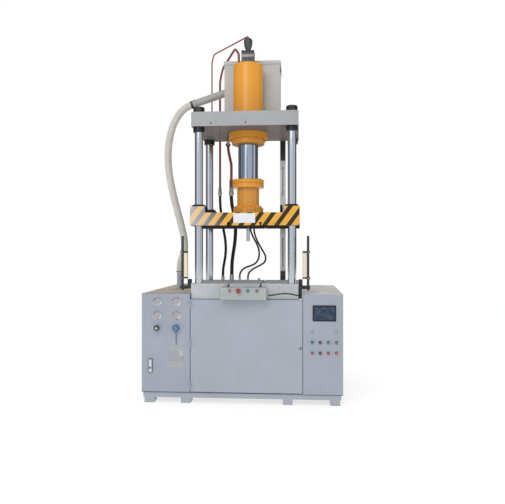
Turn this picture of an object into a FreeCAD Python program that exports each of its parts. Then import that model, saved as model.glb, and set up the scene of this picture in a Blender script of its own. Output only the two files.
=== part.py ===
import FreeCAD, Part
import math
import os

# Four-column hydraulic press with a hydraulic station on the left and an electrical cabinet on the right.
# Millimetres, +Z up. The forms are built about the press axis (X = 0, Y = 0, floor at Z = 0, front at -Y),
# and every piece is then shifted so that the origin lies under the middle of the whole machine.

# ---------------------------------------------------------------- frame
FOOT_HEIGHT = 50.0
FOOT_WIDTH = 86.0
FOOT_LENGTH = 120.0
FOOT_INSET = 10.0
PLINTH_HEIGHT = 44.0
PLINTH_BEAM = 50.0
PLINTH_INSET = 15.0
BED_HEIGHT = 842.0
BED_WALL = 10.0
BED_FLOOR = 12.0
TABLE_WIDTH = 968.0
PLATE_DEPTH = 776.0
TABLE_THICKNESS = 138.0
CROWN_WIDTH = 964.0
CROWN_THICKNESS = 130.0
PLATE_CHAMFER = 4.0
COLUMN_SPAN_X = 844.0
COLUMN_SPAN_Y = 644.0
COLUMN_DIAMETER = 75.0
COLUMN_END_DIAMETER = 64.0
COLUMN_CLEAR_HEIGHT = 1416.0
NUT_ACROSS_FLATS = 90.0
NUT_HEIGHT = 52.0
NUT_BEVEL = 7.0
COLUMN_END_RECESS = 4.0
COLLAR_DIAMETER = 104.0
COLLAR_HEIGHT = 46.0

# ---------------------------------------------------------------- slots for the tooling
SLOT_SPACING = 288.0
SLOT_THROAT = 14.0
SLOT_HEAD_WIDTH = 26.0
SLOT_HEAD_HEIGHT = 11.0
SLOT_DEPTH = 28.0

# ---------------------------------------------------------------- slide and ram
DAYLIGHT = 522.0
SLIDE_WIDTH = 984.0
SLIDE_DEPTH = 792.0
SLIDE_THICKNESS = 116.0
STROKE_DOWN = 340.0
STROKE_UP = 140.0
BUSH_BLOCK = 138.0
BUSH_BLOCK_RISE = 56.0
BUSH_WALL = 10.0
WIPER_WIDTH = 116.0
WIPER_THICKNESS = 11.0
RAM_DIAMETER = 190.0
RAM_CAVITY_DIAMETER = 70.0
PISTON_HEIGHT = 95.0
SLEEVE_DIAMETER = 210.0
SLEEVE_HEIGHT = 294.0
SLEEVE_FOOT_DIAMETER = 290.0
SLEEVE_FOOT_HEIGHT = 87.0
SLEEVE_FOOT_CHAMFER = 24.0
COUPLING_DIAMETER = 300.0
COUPLING_DISC_HEIGHT = 40.0
COUPLING_GROOVE = 3.0
CLAMP_SPLIT = 4.0
RAM_COLLAR_DEPTH = 6.0
RAM_COLLAR_HEIGHT = 22.0
SLEEVE_BOLT_CIRCLE = 250.0
SLEEVE_BOLT_COUNT = 8
SLEEVE_BOLT_HEAD = 27.0

# ---------------------------------------------------------------- main cylinder
BARREL_DIAMETER = 280.0
BARREL_BORE = 220.0
BARREL_HEIGHT = 654.0
BARREL_CHAMFER = 6.0
BARREL_FLANGE_DIAMETER = 372.0
BARREL_FLANGE_HEIGHT = 60.0
GLAND_DIAMETER = 314.0
GLAND_HEIGHT = 48.0
GLAND_SPIGOT = 44.0
VALVE_WIDTH = 118.0
VALVE_HEIGHT = 126.0
BULB_DIAMETER = 84.0
BULB_HEIGHT = 127.0
BULB_NECK_DIAMETER = 46.0

# ---------------------------------------------------------------- top tank
TANK_WIDTH = 548.0
TANK_DEPTH = 236.0
TANK_HEIGHT = 612.0
TANK_WALL = 4.0
TANK_SHIFT = 26.0
LID_THICKNESS = 4.0
LID_SKIRT = 30.0
LID_FLAP = 100.0
LID_OVERHANG = 6.0

# ---------------------------------------------------------------- pipes and hoses
REAR_LINE_GAP = 52.0
PILOT_PIPE_DIAMETER = 14.0
PRESSURE_PIPE_DIAMETER = 22.0
RETURN_PIPE_DIAMETER = 28.0
PIPE_WALL = 3.0
SUCTION_PIPE_DIAMETER = 74.0
LINK_PIPE_DIAMETER = 44.0
LINK_PIPE_RISE = 4.0
SUCTION_ROOT = 40.0
SUCTION_COLLAR = 22.0
COLLAR_STEP = 5.0
PRESSURE_HOSE_DIAMETER = 27.0
RETURN_HOSE_DIAMETER = 36.0
EJECTOR_HOSE_DIAMETER = 18.0
SUCTION_HOSE_DIAMETER = 72.0
CONTROL_CABLE_DIAMETER = 12.0
MANIFOLD_WIDTH = 560.0
MANIFOLD_DEPTH = 110.0
MANIFOLD_HEIGHT = 62.0
MANIFOLD_DROP = 34.0
MANIFOLD_MARGIN = 26.0
FITTING_HEIGHT = 48.0
RETURN_FITTING_HEIGHT = 61.0
SPARE_PORT_X = 74.0
SPARE_PORT_DIAMETER = 22.0
PILOT_COLUMN_OFFSET = 8.0
PRESSURE_X = -330.0
PRESSURE_HOSE_SHIFT = 30.0
RETURN_X = -212.0
RETURN_HOSE_SHIFT = 4.0
OIL_HOSE_TOP = 880.0
EJECTOR_PORT_LEVEL = 46.0
EJECTOR_PORT_LEFT = -14.0
EJECTOR_PORT_RIGHT = 22.0
EJECTOR_LANE = 32.0
EJECTOR_PORT_BLOCK = 40.0
EJECTOR_LEFT_SHIFT = -112.0
EJECTOR_RIGHT_SHIFT = -62.0
SUCTION_OUTLET_LEVEL = 338.0
SUCTION_END_LEVEL = 230.0
SUCTION_RUN = 328.0
SUCTION_STUB_INSET = 217.0
SUCTION_STUB_HEIGHT = 160.0
SUCTION_STUB_DIAMETER = 64.0

# ---------------------------------------------------------------- cabinets and doors
DOOR_DEPTH = 19.0
DOOR_GAP = 1.0
DOOR_MARGIN = 3.0
SHEET = 3.0
SEAM = 6.0
STATION_WIDTH = 442.0
STATION_DEPTH = 1728.0
CABINET_HEIGHT = 891.0
CABINET_LIP = 26.0
CABINET_GAP = 38.0
ELECTRICAL_WIDTH = 352.0
ELECTRICAL_DEPTH = 1472.0
ELECTRICAL_SEAM = 778.0
SEAM_GROOVE = 4.0
HINGE_RADIUS = 7.0
HINGE_PIN_RADIUS = 4.0
HINGE_KNUCKLE = 20.0
HINGE_LEVELS = (28.0, 406.0, 758.0)
LUG = 4.0

# ---------------------------------------------------------------- controls
CONTROL_BOX_WIDTH = 400.0
CONTROL_BOX_DEPTH = 118.0
CONTROL_BOX_HEIGHT = 104.0
CONTROL_BOX_DROP = 30.0
BUTTON_STEM = 21.2
BUTTON_CAP = 27.0
BUTTON_TRAVEL = 4.0
BUTTON_REACH = 14.0
BUTTON_DROP = 26.0
BUTTON_PITCH = 80.0
STOP_DIAMETER = 44.0
STOP_REACH = 34.0
PANEL_PITCH = 71.0
PANEL_ROW_HIGH = 466.0
PANEL_ROW_LOW = 372.0
PANEL_LAMP_LEVEL = 562.0
PANEL_SHIFT = 11.0
LAMP_DIAMETER = 24.0
SCREEN_WIDTH = 205.0
SCREEN_HEIGHT = 140.0
SCREEN_DEPTH = 40.0
SCREEN_LEVEL = 723.0
SCREEN_BEZEL = 6.0
GAUGE_DIAMETER = 78.0
GAUGE_PITCH_X = 173.0
GAUGE_PITCH_Z = 122.0
GAUGE_LEVEL = 695.0
GAUGE_CASE = 62.0
GAUGE_INSET = 146.0
KNOB_LEVEL = 582.0
RELIEF_KNOB_DIAMETER = 50.0
FLOW_KNOB_DIAMETER = 62.0
KNOB_SHAFT = 14.0
KNOB_DEPTH = 30.0
LATCH_LEVEL = 240.0
LATCH_INSET = 83.0
LATCH_WIDTH = 37.0
LATCH_HEIGHT = 125.0
LATCH_CAM = 66.0
LOCK_LEVEL = 411.0
LOCK_INSET = 16.0
LOCK_DIAMETER = 22.0
POUCH_WIDTH = 142.0
POUCH_HEIGHT = 212.0
POUCH_THICKNESS = 4.0
POUCH_DROP = 152.0
STRING_DIAMETER = 3.0

# ---------------------------------------------------------------- guards and sensing
CURTAIN_OFFSET = 83.0
CURTAIN_POST = 20.0
CURTAIN_POST_HEIGHT = 489.0
CURTAIN_BAR_WIDTH = 34.0
CURTAIN_BAR_DEPTH = 30.0
CURTAIN_BAR_HEIGHT = 232.0
CURTAIN_SETBACK = 38.0
BRACKET_HEIGHT = 86.0
BRACKET_THICKNESS = 14.0
RAIL_WIDTH = 57.0
RAIL_THICKNESS = 12.0
RAIL_INSET = 135.0
SWITCH_DEPTH = 18.0
SWITCH_HIGH = 196.0
SWITCH_LOW = 90.0
STRIKER_RISE = 125.0

# ---------------------------------------------------------------- ejectors
UPPER_ROD_DIAMETER = 32.0
UPPER_ROD_REACH = 134.0
UPPER_ROD_TRAVEL = 80.0
UPPER_HEAD_DIAMETER = 56.0
UPPER_HEAD_HEIGHT = 20.0
EJECTOR_BODY_DIAMETER = 140.0
EJECTOR_BORE = 100.0
EJECTOR_FLANGE_DIAMETER = 200.0
EJECTOR_FLANGE_HEIGHT = 25.0
EJECTOR_ROD_DIAMETER = 50.0
EJECTOR_TRAVEL = 100.0
EJECTOR_ROD_RECESS = 4.0
EJECTOR_PISTON_HEIGHT = 40.0
TABLE_HOLE_DIAMETER = 60.0

# ---------------------------------------------------------------- power pack inside the station
RESERVOIR_HEIGHT = 400.0
RESERVOIR_WALL = 5.0
RESERVOIR_GAP = 14.0
MOTOR_DIAMETER = 220.0
MOTOR_LENGTH = 330.0
MOTOR_SETBACK = 700.0
MOTOR_LIFT = 12.0
BELL_DIAMETER = 170.0
BELL_LENGTH = 90.0
PUMP_DIAMETER = 120.0
PUMP_LENGTH = 150.0
MOTOR_SHAFT = 38.0

# ---------------------------------------------------------------- clearances
RUNNING_FIT = 0.05
FREE_FIT = 0.4
SEAT_GAP = 0.5
END_CLEARANCE = 25.0

# ---------------------------------------------------------------- levels and places worked out from the sizes
Z_PLINTH = FOOT_HEIGHT
Z_BED = Z_PLINTH + PLINTH_HEIGHT
Z_TABLE = Z_BED + BED_HEIGHT
Z_TABLE_TOP = Z_TABLE + TABLE_THICKNESS
Z_SLIDE = Z_TABLE_TOP + DAYLIGHT
Z_SLIDE_TOP = Z_SLIDE + SLIDE_THICKNESS
Z_BLOCK_TOP = Z_SLIDE_TOP + BUSH_BLOCK_RISE
Z_CROWN = Z_TABLE_TOP + COLUMN_CLEAR_HEIGHT
Z_CROWN_TOP = Z_CROWN + CROWN_THICKNESS
Z_BARREL_TOP = Z_CROWN + BARREL_HEIGHT
Z_GLAND = Z_CROWN - BARREL_FLANGE_HEIGHT - GLAND_HEIGHT
Z_SLEEVE_TOP = Z_SLIDE_TOP + SLEEVE_HEIGHT
Z_CABINET_TOP = Z_BED + CABINET_HEIGHT
Z_VALVE_TOP = Z_BARREL_TOP + VALVE_HEIGHT
Z_BULB_TOP = Z_VALVE_TOP + BULB_HEIGHT
Z_PISTON = Z_CROWN - BARREL_FLANGE_HEIGHT + GLAND_SPIGOT + STROKE_DOWN + SEAT_GAP
Z_BARREL_HEAD = Z_PISTON + PISTON_HEIGHT + STROKE_UP + END_CLEARANCE
RAM_CAVITY_HEIGHT = UPPER_HEAD_HEIGHT + UPPER_ROD_TRAVEL + END_CLEARANCE
EJECTOR_HEIGHT = 2 * EJECTOR_FLANGE_HEIGHT + EJECTOR_PISTON_HEIGHT + EJECTOR_TRAVEL + END_CLEARANCE
Z_MANIFOLD_TOP = Z_TABLE_TOP - MANIFOLD_DROP
Z_FITTING_TOP = Z_MANIFOLD_TOP + FITTING_HEIGHT
Z_RETURN_FITTING_TOP = Z_MANIFOLD_TOP + RETURN_FITTING_HEIGHT
Z_OIL_HOSE_TOP = Z_TABLE_TOP + OIL_HOSE_TOP
Z_EJECTOR_PORT = Z_SLIDE + EJECTOR_PORT_LEVEL

TABLE_SIDE = TABLE_WIDTH / 2
PLATE_EDGE = PLATE_DEPTH / 2
DOOR_BACK = -PLATE_EDGE - DOOR_GAP
DOOR_FRONT = DOOR_BACK - DOOR_DEPTH
SEAM_X = -TABLE_SIDE - SEAM / 2
STATION_RIGHT = -TABLE_SIDE - SEAM
STATION_LEFT = STATION_RIGHT - STATION_WIDTH
STATION_BACK = -PLATE_EDGE + STATION_DEPTH
CABINET_LEFT = TABLE_SIDE + CABINET_GAP
CABINET_RIGHT = CABINET_LEFT + ELECTRICAL_WIDTH
CABINET_BACK = DOOR_FRONT + ELECTRICAL_DEPTH
HINGE_Y = DOOR_FRONT - HINGE_RADIUS - DOOR_GAP
REAR_LINE = PLATE_EDGE + REAR_LINE_GAP
BOX_FRONT = -PLATE_EDGE - CONTROL_BOX_DEPTH
Z_BOX_TOP = Z_TABLE_TOP - CONTROL_BOX_DROP
Z_BOX = Z_BOX_TOP - CONTROL_BOX_HEIGHT
Z_BUTTONS = Z_BOX_TOP - BUTTON_DROP
MOTOR_X = (STATION_LEFT + STATION_RIGHT) / 2
Z_RESERVOIR = Z_BED + SHEET
Z_RESERVOIR_TOP = Z_RESERVOIR + RESERVOIR_HEIGHT
Z_MOTOR = Z_RESERVOIR_TOP + MOTOR_LIFT + MOTOR_DIAMETER / 2
TANK_LEFT = TANK_SHIFT - TANK_WIDTH / 2
TANK_RIGHT = TANK_SHIFT + TANK_WIDTH / 2
TANK_BACK = PLATE_EDGE
TANK_FRONT = TANK_BACK - TANK_DEPTH
Z_TANK_TOP = Z_CROWN_TOP + TANK_HEIGHT
LEFT_GAUGE_X = STATION_LEFT + GAUGE_INSET
RIGHT_GAUGE_X = LEFT_GAUGE_X + GAUGE_PITCH_X
Z_KNOBS = Z_BED + KNOB_LEVEL

# The origin lies under the middle of the rigid machine.
MACHINE_FRONT = BOX_FRONT - STOP_REACH
MACHINE_BACK = STATION_BACK
ORIGIN_X = (STATION_LEFT + CABINET_RIGHT) / 2
ORIGIN_Y = (MACHINE_FRONT + MACHINE_BACK) / 2

UP = FreeCAD.Vector(0, 0, 1)
RIGHT = FreeCAD.Vector(1, 0, 0)
BACK = FreeCAD.Vector(0, 1, 0)
pieces = {}


# ================================================================ shape helpers
def point(x, y, z):
    return FreeCAD.Vector(x, y, z)


def block(x0, x1, y0, y1, z0, z1):
    return Part.makeBox(x1 - x0, y1 - y0, z1 - z0, point(x0, y0, z0))


def round_bar(radius, length, place, axis=UP):
    return Part.makeCylinder(radius, length, place, axis)


def turned(profile, place=point(0, 0, 0)):
    """A solid of revolution about the vertical through place, from a closed outline of (radius, height)."""
    corners = [point(radius, 0, height) for radius, height in profile]
    face = Part.Face(Part.makePolygon(corners + [corners[0]]))
    solid = face.revolve(point(0, 0, 0), UP, 360)
    solid.translate(place)
    return solid


def turned_front(profile, place):
    """The same, with its heights measured out of a front panel, towards -Y."""
    solid = turned(profile)
    solid.rotate(point(0, 0, 0), RIGHT, 90)
    solid.translate(place)
    return solid


def prism(outline, height, base):
    corners = [point(x, y, base) for x, y in outline]
    face = Part.Face(Part.makePolygon(corners + [corners[0]]))
    return face.extrude(UP * height)


def hexagon(across_flats, height, place, turn=0.0):
    radius = across_flats / 2 / math.cos(math.pi / 6)
    angles = [math.radians(turn + 60 * step) for step in range(6)]
    outline = [(place.x + radius * math.cos(a), place.y + radius * math.sin(a)) for a in angles]
    return prism(outline, height, place.z)


def fused(first, *others):
    shape = first.fuse(list(others))
    return shape.removeSplitter()


def cut(shape, *tools):
    return shape.cut(list(tools))


def column_places():
    return [(sx * COLUMN_SPAN_X / 2, sy * COLUMN_SPAN_Y / 2) for sx in (-1, 1) for sy in (-1, 1)]


def save(name, shape):
    pieces[name] = shape


# ================================================================ routes of pipes, hoses and cables
def route_wire(points, radii):
    """Straight runs joined by tangent arcs."""
    edges = []
    start = points[0]
    for before, corner, after, radius in zip(points, points[1:], points[2:], radii):
        inward = (corner - before).normalize()
        outward = (after - corner).normalize()
        turn = inward.getAngle(outward)
        reach = radius * math.tan(turn / 2)
        arc_start = corner - inward * reach
        arc_end = corner + outward * reach
        bisector = (outward - inward).normalize()
        middle = corner + bisector * (radius / math.cos(turn / 2) - radius)
        edges.append(Part.LineSegment(start, arc_start).toShape())
        edges.append(Part.Arc(arc_start, middle, arc_end).toShape())
        start = arc_end
    edges.append(Part.LineSegment(start, points[-1]).toShape())
    return Part.Wire(edges)


def cord_radii(points):
    radii = []
    for before, corner, after in zip(points, points[1:], points[2:]):
        run = min((corner - before).Length, (after - corner).Length)
        turn = (corner - before).getAngle(after - corner)
        radii.append(0.45 * run / math.tan(turn / 2))
    return radii


def swept(wire, diameter):
    first = wire.Edges[0]
    start = first.valueAt(first.FirstParameter)
    heading = first.tangentAt(first.FirstParameter)
    circle = Part.Wire([Part.makeCircle(diameter / 2, start, heading)])
    return wire.makePipeShell([circle], True, False)


def cord(name, diameter, route):
    points = [point(*place) for place in route]
    radii = cord_radii(points)
    wire = route_wire(points, radii)
    tube = swept(wire, diameter)
    share = tube.Volume / (math.pi * diameter ** 2 / 4 * wire.Length)
    print(name, "length", round(wire.Length), "volume share", round(share, 4))
    print("  radii", [round(radius) for radius in radii], "diameter", diameter)
    return tube


def bent_pipe(diameter, bend_radii, route):
    """A solid-drawn pipe, left full inside."""
    points = [point(*place) for place in route]
    return swept(route_wire(points, bend_radii), diameter)


# ================================================================ welded base
def plinth_ring(x0, x1, y0, y1):
    outer = block(x0, x1, y0, y1, Z_PLINTH, Z_BED)
    beam = PLINTH_BEAM
    return cut(outer, block(x0 + beam, x1 - beam, y0 + beam, y1 - beam, Z_PLINTH, Z_BED))


def foot(x, y):
    return block(x - FOOT_WIDTH / 2, x + FOOT_WIDTH / 2, y - FOOT_LENGTH / 2, y + FOOT_LENGTH / 2, 0, Z_PLINTH)


def hinge_knuckle(z):
    """One turned barrel of a hinge on the seam, with its bottom at z."""
    return round_bar(HINGE_RADIUS, HINGE_KNUCKLE, point(SEAM_X, HINGE_Y, z))


def frame_hinges():
    """Fixed knuckles and their pins: each hinge is fixed, centre door, station door, fixed, from the bottom up."""
    parts = []
    step = HINGE_KNUCKLE + SEAT_GAP
    for level in HINGE_LEVELS:
        low = Z_BED + level
        high = low + 3 * step
        for z in (low, high):
            parts.append(hinge_knuckle(z))
            parts.append(block(SEAM_X - LUG / 2, SEAM_X + LUG / 2, HINGE_Y, -PLATE_EDGE + LUG, z, z + HINGE_KNUCKLE))
            parts.append(block(SEAM_X - LUG / 2, -TABLE_SIDE + LUG, -PLATE_EDGE, -PLATE_EDGE + LUG, z, z + HINGE_KNUCKLE))
        parts.append(round_bar(HINGE_PIN_RADIUS, high - low, point(SEAM_X, HINGE_Y, low)))
    return parts


def base_frame():
    front = DOOR_FRONT + FOOT_INSET
    plinth_left = STATION_LEFT + PLINTH_INSET
    plinth_right = CABINET_RIGHT - PLINTH_INSET
    left_ring = plinth_ring(plinth_left, STATION_RIGHT + PLINTH_BEAM, front, STATION_BACK - PLINTH_INSET)
    bed_ring = plinth_ring(-TABLE_SIDE, CABINET_LEFT, front, PLATE_EDGE)
    right_ring = plinth_ring(CABINET_LEFT - PLINTH_BEAM, plinth_right, front, CABINET_BACK - PLINTH_INSET)
    front_feet_y = front + FOOT_LENGTH / 2
    left_foot_x = plinth_left + FOOT_INSET + FOOT_WIDTH / 2
    seam_foot_x = SEAM_X - FOOT_WIDTH / 2
    right_foot_x = plinth_right - FOOT_INSET - FOOT_WIDTH / 2
    bed_foot_x = CABINET_LEFT - PLINTH_BEAM - FOOT_WIDTH
    station_feet_y = STATION_BACK - PLINTH_INSET - FOOT_LENGTH / 2
    cabinet_feet_y = CABINET_BACK - PLINTH_INSET - FOOT_LENGTH / 2
    bed_feet_y = PLATE_EDGE - FOOT_LENGTH / 2
    feet = [foot(x, front_feet_y) for x in (left_foot_x, seam_foot_x, bed_foot_x, right_foot_x)]
    feet += [foot(x, station_feet_y) for x in (left_foot_x, seam_foot_x)]
    feet += [foot(x, bed_feet_y) for x in (seam_foot_x, bed_foot_x)]
    feet.append(foot(right_foot_x, cabinet_feet_y))
    floor = block(-TABLE_SIDE, TABLE_SIDE, -PLATE_EDGE, PLATE_EDGE, Z_BED, Z_BED + BED_FLOOR)
    walls = [
        block(-TABLE_SIDE, -TABLE_SIDE + BED_WALL, -PLATE_EDGE, PLATE_EDGE, Z_BED, Z_TABLE),
        block(TABLE_SIDE - BED_WALL, TABLE_SIDE, -PLATE_EDGE, PLATE_EDGE, Z_BED, Z_TABLE),
        block(-TABLE_SIDE, TABLE_SIDE, PLATE_EDGE - BED_WALL, PLATE_EDGE, Z_BED, Z_TABLE),
    ]
    jamb = block(TABLE_SIDE, CABINET_LEFT, -PLATE_EDGE, -PLATE_EDGE + LUG, Z_BED, Z_TABLE)
    return fused(left_ring, bed_ring, right_ring, floor, jamb, *feet, *walls, *frame_hinges())


# ================================================================ plates, columns and nuts
def slot_cutters(face_z, inward, depth):
    """Two tee slots along Y. inward is -1 where they open upwards and +1 where they open downwards."""
    cutters = []
    for side in (-1, 1):
        x = side * SLOT_SPACING / 2
        throat_end = face_z + inward * SLOT_DEPTH
        head_start = face_z + inward * (SLOT_DEPTH - SLOT_HEAD_HEIGHT)
        low, high = sorted((face_z, throat_end))
        cutters.append(block(x - SLOT_THROAT / 2, x + SLOT_THROAT / 2, -depth, depth, low, high))
        low, high = sorted((head_start, throat_end))
        cutters.append(block(x - SLOT_HEAD_WIDTH / 2, x + SLOT_HEAD_WIDTH / 2, -depth, depth, low, high))
    return cutters


def plate(width, depth, z0, z1):
    body = block(-width / 2, width / 2, -depth / 2, depth / 2, z0, z1)
    upright = [edge for edge in body.Edges if abs(edge.tangentAt(edge.FirstParameter).z) > 0.9]
    return body.makeChamfer(PLATE_CHAMFER, upright)


def table_plate():
    body = plate(TABLE_WIDTH, PLATE_DEPTH, Z_TABLE, Z_TABLE_TOP)
    holes = [
        round_bar(COLUMN_END_DIAMETER / 2 + RUNNING_FIT, TABLE_THICKNESS, point(x, y, Z_TABLE))
        for x, y in column_places()
    ]
    holes.append(round_bar(TABLE_HOLE_DIAMETER / 2, TABLE_THICKNESS, point(0, 0, Z_TABLE)))
    return cut(body, *holes, *slot_cutters(Z_TABLE_TOP, -1, PLATE_DEPTH / 2))


def crown_plate():
    body = plate(CROWN_WIDTH, PLATE_DEPTH, Z_CROWN, Z_CROWN_TOP)
    holes = [
        round_bar(COLUMN_END_DIAMETER / 2 + RUNNING_FIT, CROWN_THICKNESS, point(x, y, Z_CROWN))
        for x, y in column_places()
    ]
    holes.append(round_bar(BARREL_DIAMETER / 2 + RUNNING_FIT, CROWN_THICKNESS, point(0, 0, Z_CROWN)))
    return cut(body, *holes)


def columns():
    shaft = COLUMN_DIAMETER / 2
    end = COLUMN_END_DIAMETER / 2
    bottom = Z_TABLE - NUT_HEIGHT + COLUMN_END_RECESS
    top = Z_CROWN_TOP + NUT_HEIGHT - COLUMN_END_RECESS
    profile = [(0, bottom), (end, bottom), (end, Z_TABLE_TOP), (shaft, Z_TABLE_TOP)]
    profile += [(shaft, Z_CROWN), (end, Z_CROWN), (end, top), (0, top)]
    return Part.makeCompound([turned(profile, point(x, y, 0)) for x, y in column_places()])


def hex_nut(place, turn, bevel_up):
    """A heavy nut with one bevelled face, bored for the column's end."""
    body = hexagon(NUT_ACROSS_FLATS, NUT_HEIGHT, place, turn)
    corner = NUT_ACROSS_FLATS / 2 / math.cos(math.pi / 6)
    flat = corner - NUT_BEVEL
    if bevel_up:
        profile = [(0, 0), (corner, 0), (corner, NUT_HEIGHT - NUT_BEVEL), (flat, NUT_HEIGHT), (0, NUT_HEIGHT)]
    else:
        profile = [(0, 0), (flat, 0), (corner, NUT_BEVEL), (corner, NUT_HEIGHT), (0, NUT_HEIGHT)]
    body = body.common(turned(profile, place))
    return cut(body, round_bar(COLUMN_END_DIAMETER / 2 + RUNNING_FIT, NUT_HEIGHT, place))


def column_nuts():
    nuts = []
    for x, y in column_places():
        nuts.append(hex_nut(point(x, y, Z_CROWN_TOP), 0.0, True))
        nuts.append(hex_nut(point(x, y, Z_TABLE - NUT_HEIGHT), 30.0, False))
        inner = COLUMN_DIAMETER / 2 + RUNNING_FIT
        outer = COLLAR_DIAMETER / 2
        low = Z_CROWN - COLLAR_HEIGHT
        ring = turned([(inner, low), (outer, low), (outer, Z_CROWN), (inner, Z_CROWN)], point(x, y, 0))
        nuts.append(ring)
    return Part.makeCompound(nuts)


# ================================================================ main cylinder and ram
def cylinder_barrel():
    outer = BARREL_DIAMETER / 2
    bore = BARREL_BORE / 2
    flange = BARREL_FLANGE_DIAMETER / 2
    low = Z_CROWN - BARREL_FLANGE_HEIGHT
    top = Z_BARREL_TOP
    head = Z_BARREL_HEAD
    profile = [(bore, low), (flange - BARREL_CHAMFER, low), (flange, low + BARREL_CHAMFER)]
    profile += [(flange, Z_CROWN), (outer, Z_CROWN), (outer, top - BARREL_CHAMFER)]
    profile += [(outer - BARREL_CHAMFER, top), (0, top), (0, head), (bore, head)]
    return turned(profile)


def cylinder_gland():
    ram = RAM_DIAMETER / 2 + RUNNING_FIT
    disc = GLAND_DIAMETER / 2
    spigot = BARREL_BORE / 2 - RUNNING_FIT
    seat = Z_GLAND + GLAND_HEIGHT
    profile = [(ram, Z_GLAND), (disc - BARREL_CHAMFER, Z_GLAND), (disc, Z_GLAND + BARREL_CHAMFER)]
    profile += [(disc, seat), (spigot, seat), (spigot, seat + GLAND_SPIGOT), (ram, seat + GLAND_SPIGOT)]
    return turned(profile)


def ram():
    """Ram and piston in one forging, with a collar that the clamp ring holds and a cavity for the ejector."""
    rod = RAM_DIAMETER / 2
    collar = rod + RAM_COLLAR_DEPTH
    piston = BARREL_BORE / 2 - RUNNING_FIT
    cavity = RAM_CAVITY_DIAMETER / 2
    collar_top = Z_SLEEVE_TOP
    collar_low = collar_top - RAM_COLLAR_HEIGHT
    cavity_top = Z_SLIDE_TOP + RAM_CAVITY_HEIGHT
    profile = [(cavity, Z_SLIDE_TOP), (rod, Z_SLIDE_TOP), (rod, collar_low), (collar, collar_low)]
    profile += [(collar, collar_top), (rod, collar_top), (rod, Z_PISTON), (piston, Z_PISTON)]
    profile += [(piston, Z_PISTON + PISTON_HEIGHT), (0, Z_PISTON + PISTON_HEIGHT), (0, cavity_top), (cavity, cavity_top)]
    return turned(profile)


def sleeve_bolt(angle):
    x = SLEEVE_BOLT_CIRCLE / 2 * math.cos(angle)
    y = SLEEVE_BOLT_CIRCLE / 2 * math.sin(angle)
    height = SLEEVE_FOOT_HEIGHT - SLEEVE_FOOT_CHAMFER
    return round_bar(SLEEVE_BOLT_HEAD / 2, SLEEVE_FOOT_HEIGHT, point(x, y, Z_SLIDE_TOP + height))


def coupling_sleeve():
    inner = RAM_DIAMETER / 2 + FREE_FIT
    seat = inner + RAM_COLLAR_DEPTH
    neck = SLEEVE_DIAMETER / 2
    foot_radius = SLEEVE_FOOT_DIAMETER / 2
    disc = COUPLING_DIAMETER / 2
    low = Z_SLIDE_TOP
    foot_top = low + SLEEVE_FOOT_HEIGHT
    disc_low = Z_SLEEVE_TOP - COUPLING_DISC_HEIGHT
    seat_low = Z_SLEEVE_TOP - RAM_COLLAR_HEIGHT
    profile = [(inner, low), (foot_radius, low), (foot_radius, foot_top - SLEEVE_FOOT_CHAMFER)]
    profile += [(foot_radius - SLEEVE_FOOT_CHAMFER, foot_top), (neck, foot_top), (neck, disc_low)]
    profile += [(disc, disc_low), (disc, Z_SLEEVE_TOP - COUPLING_GROOVE)]
    profile += [(disc - COUPLING_GROOVE, Z_SLEEVE_TOP), (seat, Z_SLEEVE_TOP), (seat, seat_low), (inner, seat_low)]
    angles = [2 * math.pi * (step + 0.5) / SLEEVE_BOLT_COUNT for step in range(SLEEVE_BOLT_COUNT)]
    return cut(turned(profile), *[sleeve_bolt(angle) for angle in angles])


def ram_flange():
    """The clamp ring over the ram's collar, split in two halves along X."""
    inner = RAM_DIAMETER / 2 + RUNNING_FIT
    disc = COUPLING_DIAMETER / 2
    low = Z_SLEEVE_TOP
    top = low + COUPLING_DISC_HEIGHT
    profile = [(inner, low), (disc - COUPLING_GROOVE, low), (disc, low + COUPLING_GROOVE)]
    profile += [(disc, top - COUPLING_GROOVE), (disc - COUPLING_GROOVE, top), (inner, top)]
    split = block(-disc, disc, -CLAMP_SPLIT / 2, CLAMP_SPLIT / 2, low, top)
    return cut(turned(profile), split)


# ================================================================ slide
def slide_body():
    half_x = SLIDE_WIDTH / 2
    half_y = SLIDE_DEPTH / 2
    body = plate(SLIDE_WIDTH, SLIDE_DEPTH, Z_SLIDE, Z_SLIDE_TOP)
    corner_blocks = []
    for sx in (-1, 1):
        for sy in (-1, 1):
            x0, x1 = sorted((sx * half_x, sx * (half_x - BUSH_BLOCK)))
            y0, y1 = sorted((sy * half_y, sy * (half_y - BUSH_BLOCK)))
            corner_blocks.append(block(x0, x1, y0, y1, Z_SLIDE_TOP - PLATE_CHAMFER, Z_BLOCK_TOP))
    striker_x = TABLE_SIDE - RAIL_INSET - RAIL_WIDTH
    striker_foot = block(striker_x, striker_x + RAIL_WIDTH, half_y - 40, half_y, Z_SLIDE_TOP, Z_SLIDE_TOP + 8)
    striker = block(striker_x, striker_x + 24, half_y - 8, half_y, Z_SLIDE_TOP, Z_SLIDE_TOP + STRIKER_RISE)
    port_block = block(EJECTOR_PORT_LEFT - EJECTOR_HOSE_DIAMETER, EJECTOR_PORT_RIGHT + EJECTOR_HOSE_DIAMETER,
                       half_y - 1, half_y + EJECTOR_LANE + EJECTOR_HOSE_DIAMETER,
                       Z_EJECTOR_PORT, Z_EJECTOR_PORT + EJECTOR_PORT_BLOCK)
    body = fused(body, *corner_blocks, striker_foot, striker, port_block)
    bush_radius = COLUMN_DIAMETER / 2 + BUSH_WALL
    height = Z_BLOCK_TOP - Z_SLIDE
    bores = [round_bar(bush_radius, height, point(x, y, Z_SLIDE)) for x, y in column_places()]
    rod = round_bar(UPPER_ROD_DIAMETER / 2 + RUNNING_FIT, SLIDE_THICKNESS, point(0, 0, Z_SLIDE))
    return cut(body, *bores, rod, *slot_cutters(Z_SLIDE, 1, half_y))


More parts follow.
